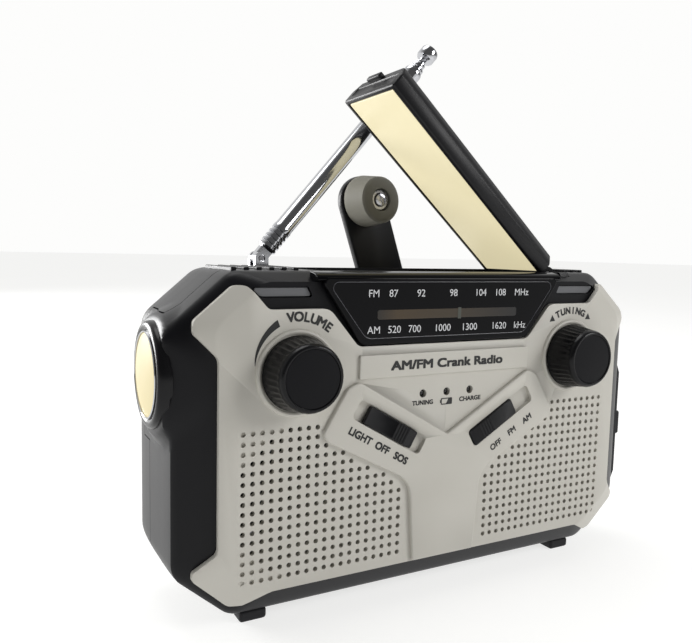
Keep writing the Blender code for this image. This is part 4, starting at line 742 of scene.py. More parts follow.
def front_panel():
    """The body skin inside the panel outline, with its raised plate, bar, collars and grille."""
    panel = plate("grey_panel", flat(outline(panel_outline(), 8)), -4.0, 12.0)
    combine("INTERSECT", panel, body_skin("panel_face", shift=SKIN_FRONT))
    cut(panel, body_skin("panel_back", shift=0.3))
    softened(panel, 0.6, 3)
    arms = softened(plate("switch_plate", flat(outline(plate_outline(), 8)), -PLATE_LIFT, 0.8), 0.5, 3)
    bar = softened(plate("name_bar", rounded_box(-28.5, 63.5, 28.5, 69.75, 0.3), -0.8, 0.8), 0.3, 2)
    join(panel, arms, bar, collar(-1), collar(1))
    cutters = []
    for side in (-1, 1):
        wide = tilted(24.4, 5.6, 1.3, side * abs(SLOT_X), SLOT_Z, side * SLOT_TILT)
        cutters.append(plate(f"slot_{side}", wide, -3.0, 0.2))
        cutters.append(through(f"shaft_{side}", SHAFT_HOLE, side * KNOB_X, KNOB_Z, -1, 3))
    cutters += [through(f"led_{i}", 1.15, i * LED_SPACING, LED_Z, -1, 3, 20) for i in (-1, 0, 1)]
    cut(panel, merged("panel_cutters", *cutters))
    stems = [
        plate(f"stem_{side}", tilted(10.6, 2.6, 0.4, side * abs(SLOT_X), SLOT_Z, side * SLOT_TILT), -1.0, 3.0)
        for side in (-1, 1)
    ]
    centres, dimple = grille_places()
    holes = hole_cutter("grille_holes", centres[~dimple], 2.0)
    cut(panel, merged("panel_through", *stems, holes))
    cut(panel, hole_cutter("grille_dimples", centres[dimple], 0.8))
    panel.data.materials.append(GREY_ABS)
    settle(shaded(panel, 30), "radio", "front_panel")


# --- Printing ---------------------------------------------------------------------------------------


def thicken(mesh, bold):
    """Letters made bolder by laying four copies of them over each other, a little apart."""
    bm = bmesh.new()
    for i, shift in enumerate(((-bold, -bold), (bold, -bold), (-bold, bold), (bold, bold))):
        before = len(bm.verts)
        bm.from_mesh(mesh)
        bm.verts.ensure_lookup_table()
        bmesh.ops.translate(bm, vec=(*shift, 0.004 * i), verts=bm.verts[before:])
    bm.to_mesh(mesh)
    bm.free()


def lettering(name, words, cap, x, z, depth, material, turn=0.0, bold=0.0, width=None, body="radio"):
    """Printed words centred on a place of the front, as a thin closed mesh of a cap height."""
    curve = bpy.data.curves.new(name, "FONT")
    curve.body = words
    curve.size = cap / 0.72
    curve.align_x = "CENTER"
    curve.align_y = "CENTER"
    curve.extrude = 0.02
    curve.resolution_u = 4
    writing = bpy.data.objects.new(name + "_text", curve)
    bpy.context.scene.collection.objects.link(writing)
    graph = bpy.context.evaluated_depsgraph_get()
    graph.update()
    mesh = bpy.data.meshes.new_from_object(writing.evaluated_get(graph))
    bpy.data.objects.remove(writing)
    if bold:
        thicken(mesh, bold)
    across = max(v.co.x for v in mesh.vertices) - min(v.co.x for v in mesh.vertices)
    stretch = width / across if width else 1.0
    mesh.transform(Matrix.Diagonal((stretch, 1, 1, 1)))
    upright = Matrix.Rotation(math.radians(90), 4, "X")
    lean = Matrix.Rotation(math.radians(-turn), 4, "Y")
    mesh.transform(Matrix.Scale(MM, 4) @ Matrix.Translation((x, at(depth), z)) @ lean @ upright)
    obj = bpy.data.objects.new(name, mesh)
    bpy.context.scene.collection.objects.link(obj)
    mesh.materials.clear()
    mesh.materials.append(material)
    return settle(obj, body)


def arc_lettering(name, word, cap, radius, first, last, centre, material):
    """Letters set one by one along an arc, each square to it; angles in degrees."""
    angles = np.linspace(first, last, len(word))
    for i, (letter, angle) in enumerate(zip(word, angles)):
        x = centre[0] + radius * math.cos(math.radians(angle))
        z = centre[1] + radius * math.sin(math.radians(angle))
        lettering(f"{name}_{i}", letter, cap, x, z, -INK, material, angle - 90, 0.12)


def volume_wedge():
    """A printed crescent that widens clockwise: two arcs whose radii drift apart with the angle."""
    turn = np.radians(np.linspace(168, 112, 24))
    share = np.linspace(0, 1, 24)
    inner = 11.35 + 1.35 * share
    outer = inner + 0.12 + 1.7 * share**0.9
    rim = np.concatenate([
        np.column_stack([outer * np.cos(turn), outer * np.sin(turn)]),
        np.column_stack([inner * np.cos(turn), inner * np.sin(turn)])[::-1],
    ])
    settle(plate("volume_wedge", rim + (-KNOB_X, KNOB_Z), -0.05, 0.02, BLACK_INK), "radio")


def tuning_arrows():
    """Two printed triangles on the arc of a word, each pointing away from it."""
    for i, (angle, point) in enumerate(((125, 1), (57, -1))):
        away = math.radians(angle)
        centre = np.array([KNOB_X, KNOB_Z]) + 13.6 * np.array([math.cos(away), math.sin(away)])
        lean = math.radians(angle - 90)
        shape = np.array([(-1.0 * point, 0.0), (0.9 * point, -1.1), (0.9 * point, 1.1)])
        turn = np.array([[math.cos(lean), math.sin(lean)], [-math.sin(lean), math.cos(lean)]])
        settle(plate(f"tuning_arrow_{i}", shape @ turn + centre, -0.05, 0.02, BLACK_INK), "radio")


def battery_mark():
    """A small battery sign: an open outline with a nub and a filled right half."""
    z = LED_Z - 2.75
    sign = plate("battery_sign", rounded_box(-1.9, z - 0.95, 1.9, z + 0.95, 0.3), -0.05, 0.02, BLACK_INK)
    inner = rounded_box(-1.6, z - 0.65, 1.6, z + 0.65, 0.2)
    cut(sign, plate("battery_sign_hollow", inner, -1.0, 1.0))
    settle(sign, "radio")
    fill = np.array([(-0.1, z - 0.66), (1.61, z - 0.66), (1.61, z + 0.66), (0.6, z + 0.66)])
    settle(plate("battery_sign_fill", fill, -0.045, 0.02, BLACK_INK), "radio")
    nub = np.array([(-2.2, z - 0.4), (-1.85, z - 0.4), (-1.85, z + 0.4), (-2.2, z + 0.4)])
    settle(plate("battery_sign_nub", nub, -0.045, 0.02, BLACK_INK), "radio")


def printing():
    """The panel's printed words, numbers and signs."""
    on_plate = -PLATE_LIFT - INK
    lettering("name_print", "AM/FM Crank Radio", 2.4, 0, 66.5, -0.83, BLACK_INK, bold=0.13, width=38)
    tilt = SLOT_TILT
    left = (("light", "LIGHT", -27.8, 48.6), ("off_left", "OFF", -21.0, 44.7), ("sos", "SOS", -15.1, 41.2))
    for key, words, x, z in left:
        lettering(key + "_print", words, 2.0, x - 0.4, z, on_plate, BLACK_INK, -tilt, 0.11)
    right = (("off_right", "OFF", 17.5, 41.4), ("fm_switch", "FM", 23.3, 44.9))
    right += (("am_switch", "AM", 29.0, 48.1),)
    for key, words, x, z in right:
        lettering(key + "_print", words, 1.8, x, z, on_plate, BLACK_INK, tilt, 0.08)
    lettering("tuning_lamp_print", "TUNING", 1.25, -8.0, LED_Z - 2.6, -INK, BLACK_INK, bold=0.06, width=6.9)
    lettering("charge_lamp_print", "CHARGE", 1.25, 8.2, LED_Z - 2.6, -INK, BLACK_INK, bold=0.06, width=7.6)
    arc_lettering("volume_print", "VOLUME", 2.4, 14.0, 98, 53, (-KNOB_X, KNOB_Z), BLACK_INK)
    arc_lettering("tuning_print", "TUNING", 2.0, 13.7, 113, 69, (KNOB_X, KNOB_Z), BLACK_INK)
    volume_wedge()
    tuning_arrows()
    battery_mark()


# --- Dial -------------------------------------------------------------------------------------------

# Dark grey bead moulded around the dial's glass: its grey colour is a painted highlight, the thin pale line
# where the glass's edge catches the light
HIGHLIGHT_BEAD = moulded("dial_bead_painted_highlight", ("#3A3A3F", "#434348"), (0.3, 0.4))
DIAL_PRINT = -0.53
FM_ROW, AM_ROW = 85.75, 76.2


def trapezoid(inset):
    """The dial's outline, drawn in evenly on all sides but a little less at the top."""
    low, high = 28.0 - 0.75 * inset, 40.4 - 1.3 * inset
    return [
        (-low, DIAL_LOW + inset, 3.2),
        (low, DIAL_LOW + inset, 3.2),
        (high, DIAL_HIGH - 0.7 * inset, 1.5),
        (-high, DIAL_HIGH - 0.7 * inset, 1.5),
    ]


def amber_strip():
    """Amber acrylic seen through smoked glass: a dim brown bar, with painted light brightest near the left
    that fades to near black on the right.
    """
    made, tree, main, coordinates = start("dim_amber_painted_light", Roughness=0.3)
    axes = add(tree, "SeparateXYZ", links={0: coordinates})
    along = add(tree, "MapRange", {"From Min": -0.023, "From Max": 0.023}, {"Value": axes.outputs[0]})
    # the ramp along the bar is painted light, brightest near its left end
    ramp = add(tree, "ValToRGB", links={0: along.outputs[0]})
    stops = ramp.color_ramp.elements
    stops[0].position, stops[0].color = 0.0, linear("#1C160C")
    stops[1].position, stops[1].color = 1.0, linear("#0C0B0B")
    for place_on_bar, tone in ((0.12, "#3D2E16"), (0.5, "#352A19"), (0.8, "#231C12")):
        stops.new(place_on_bar).color = linear(tone)
    tree.links.new(ramp.outputs[0], main.inputs["Base Color"])
    grained(tree, main, coordinates, 0.5, 0.003)
    low, high = span("dial_light_guide")
    shape = rounded_box(low[0], low[2], high[0], high[2], 0.6)
    settle(plate("amber_strip", shape, DIAL_PRINT, -0.45, made), "radio", "dial_light_guide")


def dial():
    """The black window with its bead, amber strip, pointer and two rows of numbers."""
    window = plate("dial_glass", flat(outline(trapezoid(0), 8)), -0.5, 1.5, BLACK_ACRYLIC)
    settle(softened(window, 0.45, 3), "radio", "dial_window")
    shape = flat(outline(trapezoid(1.7), 6))
    path = np.column_stack([shape[:, 0], np.full(len(shape), at(-0.5)), shape[:, 1]])
    # the bead's grey is a painted highlight along the glass's edge
    settle(bead_along("dial_bead_painted_highlight", path, 0.11, HIGHLIGHT_BEAD), "radio")
    amber_strip()
    pointer = middle("dial_pointer")
    # Pale painted styrene, dulled by the smoked glass before it
    needle = moulded("pointer_behind_glass", ("#3B3E38", "#45483F"), (0.3, 0.4))
    low, high = pointer[0] - 0.55, pointer[0] + 0.55
    shape = np.array([(low, 78.7), (high, 78.7), (high, 81.8), (low, 81.8)])
    settle(plate("dial_needle", shape, -0.58, -0.5, needle), "pointer")
    words = (("fm", "FM", -24.7), ("f87", "87", -18.75), ("f92", "92", -10), ("f98", "98", 0.75))
    words += (("f104", "104", 10.2), ("f108", "108", 17.3), ("mhz", "MHz", 25.2))
    for key, text, x in words:
        lettering("dial_" + key, text, 2.0, x, FM_ROW, DIAL_PRINT, WHITE_INK)
    words = (("am", "AM", -24.5), ("a520", "520", -18.2), ("a700", "700", -11.8), ("a1000", "1000", -2.6))
    words += (("a1300", "1300", 6.6), ("a1620", "1620", 17.2), ("khz", "kHz", 25.0))
    for key, text, x in words:
        lettering("dial_" + key, text, 2.0, x, AM_ROW, DIAL_PRINT, WHITE_INK)
    brow()


def brow():
    """The glass's upper edge, rolled back over the rim to the lamp's tray."""
    line = [(-0.5, 89.3), (-0.1, 90.2), (0.9, 90.9), (2.6, 91.3), (4.4, TOP - 0.05), (4.4, 90.0), (1.9, 88.9)]
    rings = [[(x, at(depth), z) for depth, z in line] for x in (-41.0, 41.0)]
    settle(softened(loft("dial_brow", rings, BLACK_ACRYLIC), 0.3, 2), "radio")


# --- Knobs, sliders and lamps of the panel --------------------------------------------------------


def fluted(angle, height):
    """Thirty-six shallow hollows down the knob's side, fading out at both ends."""
    fade = np.clip((height - 0.7) / 0.5, 0, 1) * np.clip((7.6 - height) / 0.5, 0, 1)
    return 0.24 * fade * (0.5 - 0.5 * np.cos(36 * angle)) ** 0.7


def control_knob(name, side, body):
    """A fluted, tapered side; a polished rim; and a matt face, sunk a little."""
    base = (side * KNOB_X, at(-0.4), KNOB_Z)
    wall = [(9.6 - 0.135 * h, h) for h in np.linspace(0.25, 7.9, 16)]
    rim = [(8.3, 8.45), (8.12, 8.8), (7.85, 9.03), (7.5, 9.1), (7.28, 9.02)]
    bore = [(9.45, 0.0), (3.0, 0.0), (3.0, 7.2), (0, 7.2)]
    side_profile = [(0, 8.6), (7.28, 8.6), *rim[::-1], *wall[::-1], *bore]
    knob = lathe(name + "_grip", side_profile, base, (0, -1, 0), GLOSS_CAP, 288, flute=fluted)
    settle(knob, body, name)
    face_profile = [(0, 8.98), (6.6, 8.96), (7.1, 8.9), (7.22, 8.8), (7.22, 8.62), (0, 8.62)]
    settle(lathe(name + "_face", face_profile, base, (0, -1, 0), MATT_FACE, 96), body)


def slider(name, side, body, ridge_at):
    """A slider: its cap with five ridges, and its stem through the panel."""
    x, z = middle(name)[0], middle(name)[2]
    lean = side * SLOT_TILT
    cap = softened(plate(name + "_cap", tilted(17.0, 5.0, 0.5, x, z, lean), -1.55, -0.1), 0.2, 2)
    ridges = []
    angle = math.radians(lean)
    for i in range(5):
        along = ridge_at + (i - 2) * 0.95
        spot = (x + along * math.cos(angle), z + along * math.sin(angle))
        ridges.append(plate(f"{name}_ridge_{i}", tilted(0.45, 4.7, 0.15, *spot, lean), -1.7, -1.4))
    stem = plate(name + "_stem", tilted(3.0, 1.8, 0.2, x, z, lean), -0.6, 7.2)
    join(cap, merged(name + "_ridges", *ridges), stem)
    cap.data.materials.append(HANDLED_ABS)
    settle(shaded(cap, 30), body, name)


def controls():
    """Two knobs, two sliders and three small lamps."""
    control_knob("volume_knob", -1, "volume")
    control_knob("tuning_knob", 1, "tuning")
    slider("light_switch", -1, "light_slider", 3.6)
    slider("band_switch", 1, "band_slider", -2.6)
    # Unlit LED under a smoked cap: nearly black
    smoked = moulded("smoked_led", ("#0B0A0A", "#141111"), (0.15, 0.25), 0.4, 0.002)
    for name in ("tuning_led", "battery_led", "charge_led"):
        x = middle(name)[0]
        profile = [(0, 6.75), (0.5, 6.66), (0.85, 6.4), (1.0, 6.0), (1.0, 0), (0, 0)]
        settle(lathe(name + "_lens", profile, (x, at(7.3), LED_Z), (0, -1, 0), smoked, 32), "radio", name)


# --- Flashlight -------------------------------------------------------------------------------------


def flashlight():
    """Bezel, bright inner ring, domed lens and reflector, all turned about the side's axis."""
    base = (-HALF, FLASH_Y, FLASH_Z)
    out = (-1, 0, 0)
    bezel = [
        (11.0, 2.7), (11.5, 3.1), (12.2, 3.28), (12.9, 3.1), (13.4, 2.6), (13.6, 1.9), (13.6, 0.4),
        (12.9, 0.2), (12.9, -0.4), (11.9, -0.4), (11.9, -3.0), (11.0, -3.0),
    ]
    settle(lathe("bezel", bezel, base, out, GLOSS_CAP, 96, ring=True), "radio", "flashlight_bezel")
    bright = [(10.55, 3.35), (10.75, 3.55), (10.95, 3.35), (10.95, 1.6), (10.5, 1.6)]
    settle(lathe("bezel_ring", bright, base, out, CHROME, 96, ring=True), "radio")
    share = np.linspace(0, 1, 12)
    dome = [(10.45 * a, 2.25 + 2.05 * math.sqrt(1 - 0.86 * a * a)) for a in share]
    lens = dome + [(10.45, 1.5), (0, 1.5)]
    settle(lathe("lens", lens, base, out, LENS, 96), "radio", "flashlight_lens")
    steps = np.linspace(0, 1, 10)
    inner = [(3.0 + 6.7 * math.sqrt(t), -11.0 + 11.8 * t) for t in steps]
    outer = [(r + 0.6, h - 0.2) for r, h in inner[::-1]]
    reflector = inner + [(10.4, 0.8)] + outer
    settle(lathe("reflector", reflector, base, out, CHROME, 64, ring=True), "radio", "flashlight_reflector")


# --- Lamp bar ----------------------------------------------------------------------------------------

LAMP_NEAR, LAMP_FAR = -3.1, -78.7
LAMP_LOW, LAMP_HIGH = -2.8, 5.0
LAMP_HALF = 13.6


def cross_bar(name, section, first, last):
    """A section of (y, z) points carried along local X."""
    return loft(name, [[(x, y, z) for y, z in section] for x in (first, last)])


def hinged(obj, body, *nodes):
    """Places a piece made in the lamp's own axes, then settles it."""
    place(obj, HINGE, LAMP_TURN)
    return settle(obj, body, *nodes)


def lamp_block(name, inset, low, high, material=None):
    """A block along the lamp, drawn in evenly from its ends and sides, between two local heights."""
    near = (LAMP_FAR + inset, inset - LAMP_HALF, low)
    far = (LAMP_NEAR - inset, LAMP_HALF - inset, high)
    return block(name, near, far, material)


def lamp_bar():
    """The lamp's cover, a hollow bar with a barrel on the hinge pin, and its diffuser."""
    low, high, half = LAMP_LOW, LAMP_HIGH, LAMP_HALF
    section = [(-half, low), (half, low), (half, 1.6), (half - 2.3, high), (-half + 2.3, high), (-half, 1.6)]
    cover = softened(cross_bar("lamp_frame", section, LAMP_FAR, LAMP_NEAR), 0.7, 3, 25)
    barrel = rod("lamp_barrel", 2.6, (0, -7.5, 0), (0, 7.5, 0), sides=48)
    neck = block("lamp_neck", (LAMP_NEAR - 0.8, -7.5, -2.1), (0.2, 7.5, 2.1))
    tab = block("lamp_tab", (LAMP_FAR - 1.6, -2.4, high - 2.6), (LAMP_FAR + 1.5, 4.6, high - 0.9))
    join(cover, barrel, neck, softened(tab, 0.4, 3))
    cut(cover, lamp_block("lamp_hollow", 1.3, low - 1, 1.2))
    cut(cover, lamp_block("solar_seat", 3, high - 1.3, high + 1))
    end = block("end_seat", (LAMP_FAR - 1, -half + 2.0, low + 1.5), (LAMP_FAR + 0.35, half - 2.6, high - 2.5))
    cut(cover, rod("pin_bore", PIN_BORE, (0, -20, 0), (0, 20, 0)), softened(end, 0.8, 3))
    cover.data.materials.append(HANDLED_ABS)
    hinged(shaded(cover, 28), "lamp_bar", "lamp_cover")
    diffuser = lamp_block("diffuser", 1.5, low + 0.15, low + 2.2, DIFFUSER)
    hinged(softened(diffuser, 0.5, 3), "lamp_bar", "lamp_diffuser")
    solar()


def solar():
    """Cells under clear resin, with silver fingers across and two bus bars along."""
    # Monocrystalline silicon: blue-black, deeper where the light meets it squarely
    coat = {"Coat_Weight": 1.0, "Coat_Roughness": 0.05}
    cells, tree, main, coordinates = start("silicon_cells", Roughness=0.12, **coat)
    mottled(tree, main, coordinates, ("#0B1024", "#141B38"), 6, (0.1, 0.2))
    grained(tree, main, coordinates, 8, 0.006)
    half = LAMP_HALF - 3.3
    top = LAMP_HIGH - 0.05
    sheet = lamp_block("solar_cells", 3.3, top - 0.95, top - 0.05, cells)
    hinged(softened(sheet, 0.2, 2), "lamp_bar", "solar_panel")
    near, far = LAMP_NEAR - 4.3, LAMP_FAR + 4.3
    fingers = [
        block(f"finger_{i}", (x - 0.09, -half + 0.9, top - 0.2), (x + 0.09, half - 0.9, top))
        for i, x in enumerate(np.linspace(far, near, 13))
    ]
    for y in (-4.2, 4.2):
        fingers.append(block(f"bus_{y}", (far, y - 0.2, top - 0.2), (near, y + 0.2, top + 0.02)))
    grid = merged("solar_fingers", *fingers)
    grid.data.materials.append(STEEL)
    hinged(grid, "lamp_bar")


def lamp_tray():
    """The recess in the top that the lamp closes into, with its hinge lugs and ribs on its floor."""
    low, high = TRAY_LOW, TRAY_HIGH
    tray = softened(block("tray", low, high), 0.35, 2)
    cut(tray, block("tray_hollow", low + (1, 1, 1.2), high + (-1, -1, 5)))
    pin_x, pin_y, pin_z = HINGE
    lugs = []
    for side in (-1, 1):
        near, far = sorted((pin_y + side * 7.8, pin_y + side * 11.3))
        lugs.append(block(f"lug_{side}", (pin_x - 2.6, near, low[2] + 0.8), (pin_x + 2.6, far, pin_z)))
        lugs.append(rod(f"lug_eye_{side}", 2.6, (pin_x, near, pin_z), (pin_x, far, pin_z), sides=40))
    ribs = [
        block(f"floor_rib_{i}", (x, low[1] + 0.8, low[2] + 0.8), (x + 0.8, high[1] - 0.8, low[2] + 1.5))
        for i, x in enumerate(np.linspace(low[0] + 9, pin_x - 14, 6))
    ]
    join(tray, *lugs, merged("floor_ribs", *ribs))
    cut(tray, rod("lug_bore", PIN_BORE, (pin_x, pin_y - 15, pin_z), (pin_x, pin_y + 15, pin_z)))
    tray.data.materials.append(BLACK_ABS)
    settle(shaded(tray, 28), "radio", "lamp_tray")


# --- Antenna -----------------------------------------------------------------------------------------


def mast(name, profile, body, *nodes, ring=False):
    """A part turned about the mast's own axis, then placed and settled."""
    tube = lathe(name, profile, (0, 0, 0), (1, 0, 0), CHROME, 48, ring=ring)
    place(tube, MAST, MAST_TURN)
    return settle(tube, body, *nodes)


def antenna():
    """A swivelling foot with two ears, and a mast of one outer tube, two sections and a tipped rod."""
    x, y, z = MAST
    base = [(0, 0.9), (3.0, 0.9), (3.3, 0.6), (3.3, 0.1), (2.6, 0), (2.6, -7), (0, -7)]
    foot = lathe("antenna_foot", base, (x, y, z - 3.15), (0, 0, 1), CHROME, 48)
    ears = []
    for side in (-1, 1):
        near, far = sorted((y + side * 1.55, y + side * 2.75))
        ears.append(block(f"ear_{side}", (x - 2.1, near, z - 3.0), (x + 2.1, far, z)))
        ears.append(rod(f"ear_eye_{side}", 2.1, (x, near, z), (x, far, z), sides=32))
    join(foot, *ears)
    cut(foot, rod("ear_bore", 1.05, (x, y - 5, z), (x, y + 5, z)))
    foot.data.materials.clear()
    foot.data.materials.append(CHROME)
    settle(shaded(foot, 28), "antenna_swivel_base", "antenna_base")
    grooves = []
    for s in (4.9, 6.5, 8.1, 9.7):
        grooves += [(3.0, s + 0.45), (2.62, s + 0.3), (2.62, s - 0.3), (3.0, s - 0.45)]
    grooves = sorted(grooves, key=lambda point: -point[1])
    tube = [(0, 9.0), (2.65, 9.0), (2.65, 80.0), (2.85, 80.0), (3.0, 79.6), (3.0, 78.4), (2.85, 78.0)]
    tube += [(2.85, 12.0), (3.0, 11.6), *grooves, (3.0, 4.0), (2.6, 3.6), (0, 3.6)]
    sleeve = lathe("mast_sleeve", tube, (0, 0, 0), (1, 0, 0), None, 48)
    tongue = block("mast_tongue", (0, -1.2, -2.0), (6.0, 1.2, 2.0))
    eye = rod("mast_eye", 2.0, (0, -1.2, 0), (0, 1.2, 0), sides=40)
    join(sleeve, tongue, eye)
    cut(sleeve, rod("mast_bore", 1.05, (0, -3, 0), (0, 3, 0)))
    sleeve.data.materials.clear()
    sleeve.data.materials.append(CHROME)
    place(shaded(sleeve, 28), MAST, MAST_TURN)
    settle(sleeve, "antenna_mast", "antenna_tube_1")
    for i, radius, first, last in ((2, 2.45, 14.2, 82.0), (3, 1.9, 16.2, 84.0)):
        groove = ((0.2, 0.8), (0.2, 1.1), (0, 1.3), (0, 1.6), (0.08, 1.8))
        end = ((0.3, 0), (0.15, 0), (0, 0.2), (0, 0.6), *groove)
        wall = [(radius - sunk, last - back) for sunk, back in end]
        wall += [(radius - 0.08, first), (radius - 0.3, first)]
        mast(f"mast_section_{i}", wall, f"antenna_section_{i}", f"antenna_tube_{i}", ring=True)
    tip = [(0, 90.0), (2.3, 89.95), (2.8, 89.6), (3.0, 89.1), (3.0, 86.6), (2.7, 86.1), (1.1, 85.9)]
    tip += [(1.1, 84.4), (1.35, 84.0), (1.35, 18.2), (0, 18.2)]
    mast("mast_tip", tip, "antenna_tip", "antenna_rod")


# --- Crank -------------------------------------------------------------------------------------------


def cranked(obj, body, *nodes):
    """Places a piece made in the crank's own axes, then settles it."""
    place(obj, CRANK, CRANK_TURN)
    return settle(obj, body, *nodes)


def crank():
    """A fluted hub with two lugs that hold the folding arm."""
    hub = [(0, 11.0), (6.5, 11.0), (6.8, 10.6), (12.0, 10.6), (12.6, 10.3), (13.0, 9.7), (13.0, 2.0)]
    hub += [(12.7, 1.4), (12.7, 0.8), (3.7, 0.8), (3.7, -4.1), (2.7, -4.1), (2.7, -9.1), (0, -9.1)]
    turret = lathe("hub", hub, (0, 0, 0), (0, 1, 0), None, 96, flute=hub_flutes)
    lugs = []
    for side in (-1, 1):
        near, far = sorted((side * 5.9, side * 9.0))
        lugs.append(block(f"hub_lug_{side}", (near, 10.0, -3.2), (far, FOLD, 3.2)))
        lugs.append(rod(f"hub_eye_{side}", 3.2, (near, FOLD, 0), (far, FOLD, 0), sides=40))
    join(turret, *lugs)
    cut(turret, rod("hub_bore", PIN_BORE, (-15, FOLD, 0), (15, FOLD, 0)))
    turret.data.materials.append(HANDLED_ABS)
    cranked(shaded(turret, 28), "crank", "crank_hub")
    crank_arm()
    crank_grip()


def hub_flutes(angle, height):
    """Shallow hollows around the hub's rim."""
    fade = np.clip((height - 1.6) / 0.5, 0, 1) * np.clip((9.9 - height) / 0.5, 0, 1)
    return 0.3 * fade * (0.5 - 0.5 * np.cos(24 * angle))


def crank_arm():
    """A flat arm with a full round end, hollowed on its back, and its hinge barrel."""
    half, reach = 8.65, CRANK_REACH
    end, round_end = reach + half, half * 0.98
    corners = [(-half, 4.2, 1.5), (half, 4.2, 1.5), (half, end, round_end), (-half, end, round_end)]
    arm = softened(slab("arm", flat(outline(corners, 14)), FOLD - 1.5, FOLD + 1.5), 0.6, 3)
    hollow = slab("arm_hollow", rounded_box(-half + 2, 8.0, half - 2, 40.0, 1.0), FOLD + 0.7, FOLD + 4)
    barrel = rod("arm_barrel", 2.5, (-5.6, FOLD, 0), (5.6, FOLD, 0), sides=40)
    neck = block("arm_neck", (-5.6, FOLD - 1.35, 0), (5.6, FOLD + 1.35, 5.2))
    join(arm, barrel, neck)
    hole = rod("arm_hole", 2.0, (0, FOLD - 5, reach), (0, FOLD + 5, reach))
    cut(arm, rod("arm_bore", PIN_BORE, (-15, FOLD, 0), (15, FOLD, 0)), hole, hollow)
    arm.data.materials.append(HANDLED_ABS)
    cranked(shaded(arm, 28), "folding_arm", "crank_arm")


def crank_grip():
    """An oval grip that narrows to its front, its washer, and the screw it turns on."""
    reach = CRANK_REACH
    back, front = FOLD - 1.8, 1.0
    length = back - front
    side = [(8.8 - 1.25 * t, length * t) for t in np.linspace(0.06, 0.93, 8)]
    profile = [(3.6, length - 1.8), (3.7, length - 0.2), (4.2, length - 0.02), (6.3, length)]
    profile += [(6.9, length - 0.1), (7.3, length - 0.4), *side[::-1]]
    profile += [(8.6, 0.15), (8.3, 0.0), (2.0, 0), (2.0, length - 2.2)]
    grip = lathe("grip", profile, (0, 0, 0), (0, -1, 0), GRIP, 72, ring=True)
    oval = Matrix.Diagonal((16 / 17.6, 1, 1, 1))
    grip.data.transform(Matrix.Translation(Vector((0, back, reach)) * MM) @ oval)
    cranked(grip, "crank_grip", "crank_knob")
    # Nickel-plated washer, brushed by its punch
    washer = [(2.3, 0.5), (3.1, 0.5), (3.3, 0.3), (3.3, 0.0), (2.3, 0.0)]
    disc = lathe("grip_washer", washer, (0, front + 1.75, reach), (0, -1, 0), STEEL, 48, ring=True)
    cranked(disc, "crank_grip")
    top = 1.35
    shank = FOLD + 1.2 - front - 1.4
    head = [(0, top - 0.1), (1.1, top), (1.9, top - 0.25), (2.15, top - 0.7), (2.15, 0.1), (1.7, 0)]
    head += [(1.7, -shank + 1), (0, -shank + 1)]
    screw = lathe("grip_screw", head, (0, front + 1.7, reach), (0, -1, 0), None, 48)
    slots = [block("slot_a", (-1.3, front, reach - 0.22), (1.3, front + 1.0, reach + 0.22))]
    slots.append(block("slot_b", (-0.22, front, reach - 1.3), (0.22, front + 1.0, reach + 1.3)))
    cut(screw, *slots)
    screw.data.materials.append(STEEL)
    cranked(shaded(screw, 28), "folding_arm", "crank_knob_screw")


# --- Back, sides and base -----------------------------------------------------------------------------


def battery_door():
    """The battery door, with three grip lines and an arrow sunk in it."""
    low, high = span("battery_door")
    door = softened(block("door", low, high), 0.4, 2)
    x, _, z = (low + high) / 2
    ridges = []
    for rise in (3.0, 4.4, 5.8):
        near, far = (x - 7, high[1] - 0.35, z + rise - 0.3), (x + 7, high[1] + 1, z + rise + 0.3)
        ridges.append(block(f"door_ridge_{rise}", near, far))
    arrow = np.array([(x, z - 4.5), (x + 2.6, z - 0.5), (x - 2.6, z - 0.5)])
    deep = high[1] - FACE_Y
    ridges.append(plate("door_arrow", arrow, deep - 0.35, deep + 1))
    cut(door, merged("door_marks", *ridges))
    door.data.materials.append(BLACK_ABS)
    settle(shaded(door, 28), "battery_hatch", "battery_door")


def feet():
    """Four rubber feet, softened all round."""
    for name in ("front_left_foot", "front_right_foot", "rear_left_foot", "rear_right_foot"):
        low, high = span(name)
        pad = softened(block(name + "_pad", low, high + (0, 0, 0.3), RUBBER), 0.9, 4)
        settle(pad, "radio", name)


def screws():
    """Pan heads with a cross recess, at the bottom of their bores."""
    for name in ("low_left_screw", "low_right_screw", "top_left_screw", "top_right_screw"):
        x, _, z = middle(name)
        far = span(name)[1][1]
        length = far - span(name)[0][1]
        profile = [(0, length), (1.6, length - 0.05), (2.3, length - 0.35), (2.7, length - 0.9)]
        profile += [(2.7, length - 1.5), (1.2, length - 1.5), (1.2, 0.4), (0.8, 0), (0, 0)]
        head = lathe(name + "_head", profile, (x, far - length, z), (0, 1, 0), None, 32)
        cross = [block("cross_a", (x - 1.6, far - 0.9, z - 0.28), (x + 1.6, far + 1, z + 0.28))]
        cross.append(block("cross_b", (x - 0.28, far - 0.9, z - 1.6), (x + 0.28, far + 1, z + 1.6)))
        cut(head, *cross)
        head.data.materials.append(STEEL)
        settle(shaded(head, 28), "radio", name)


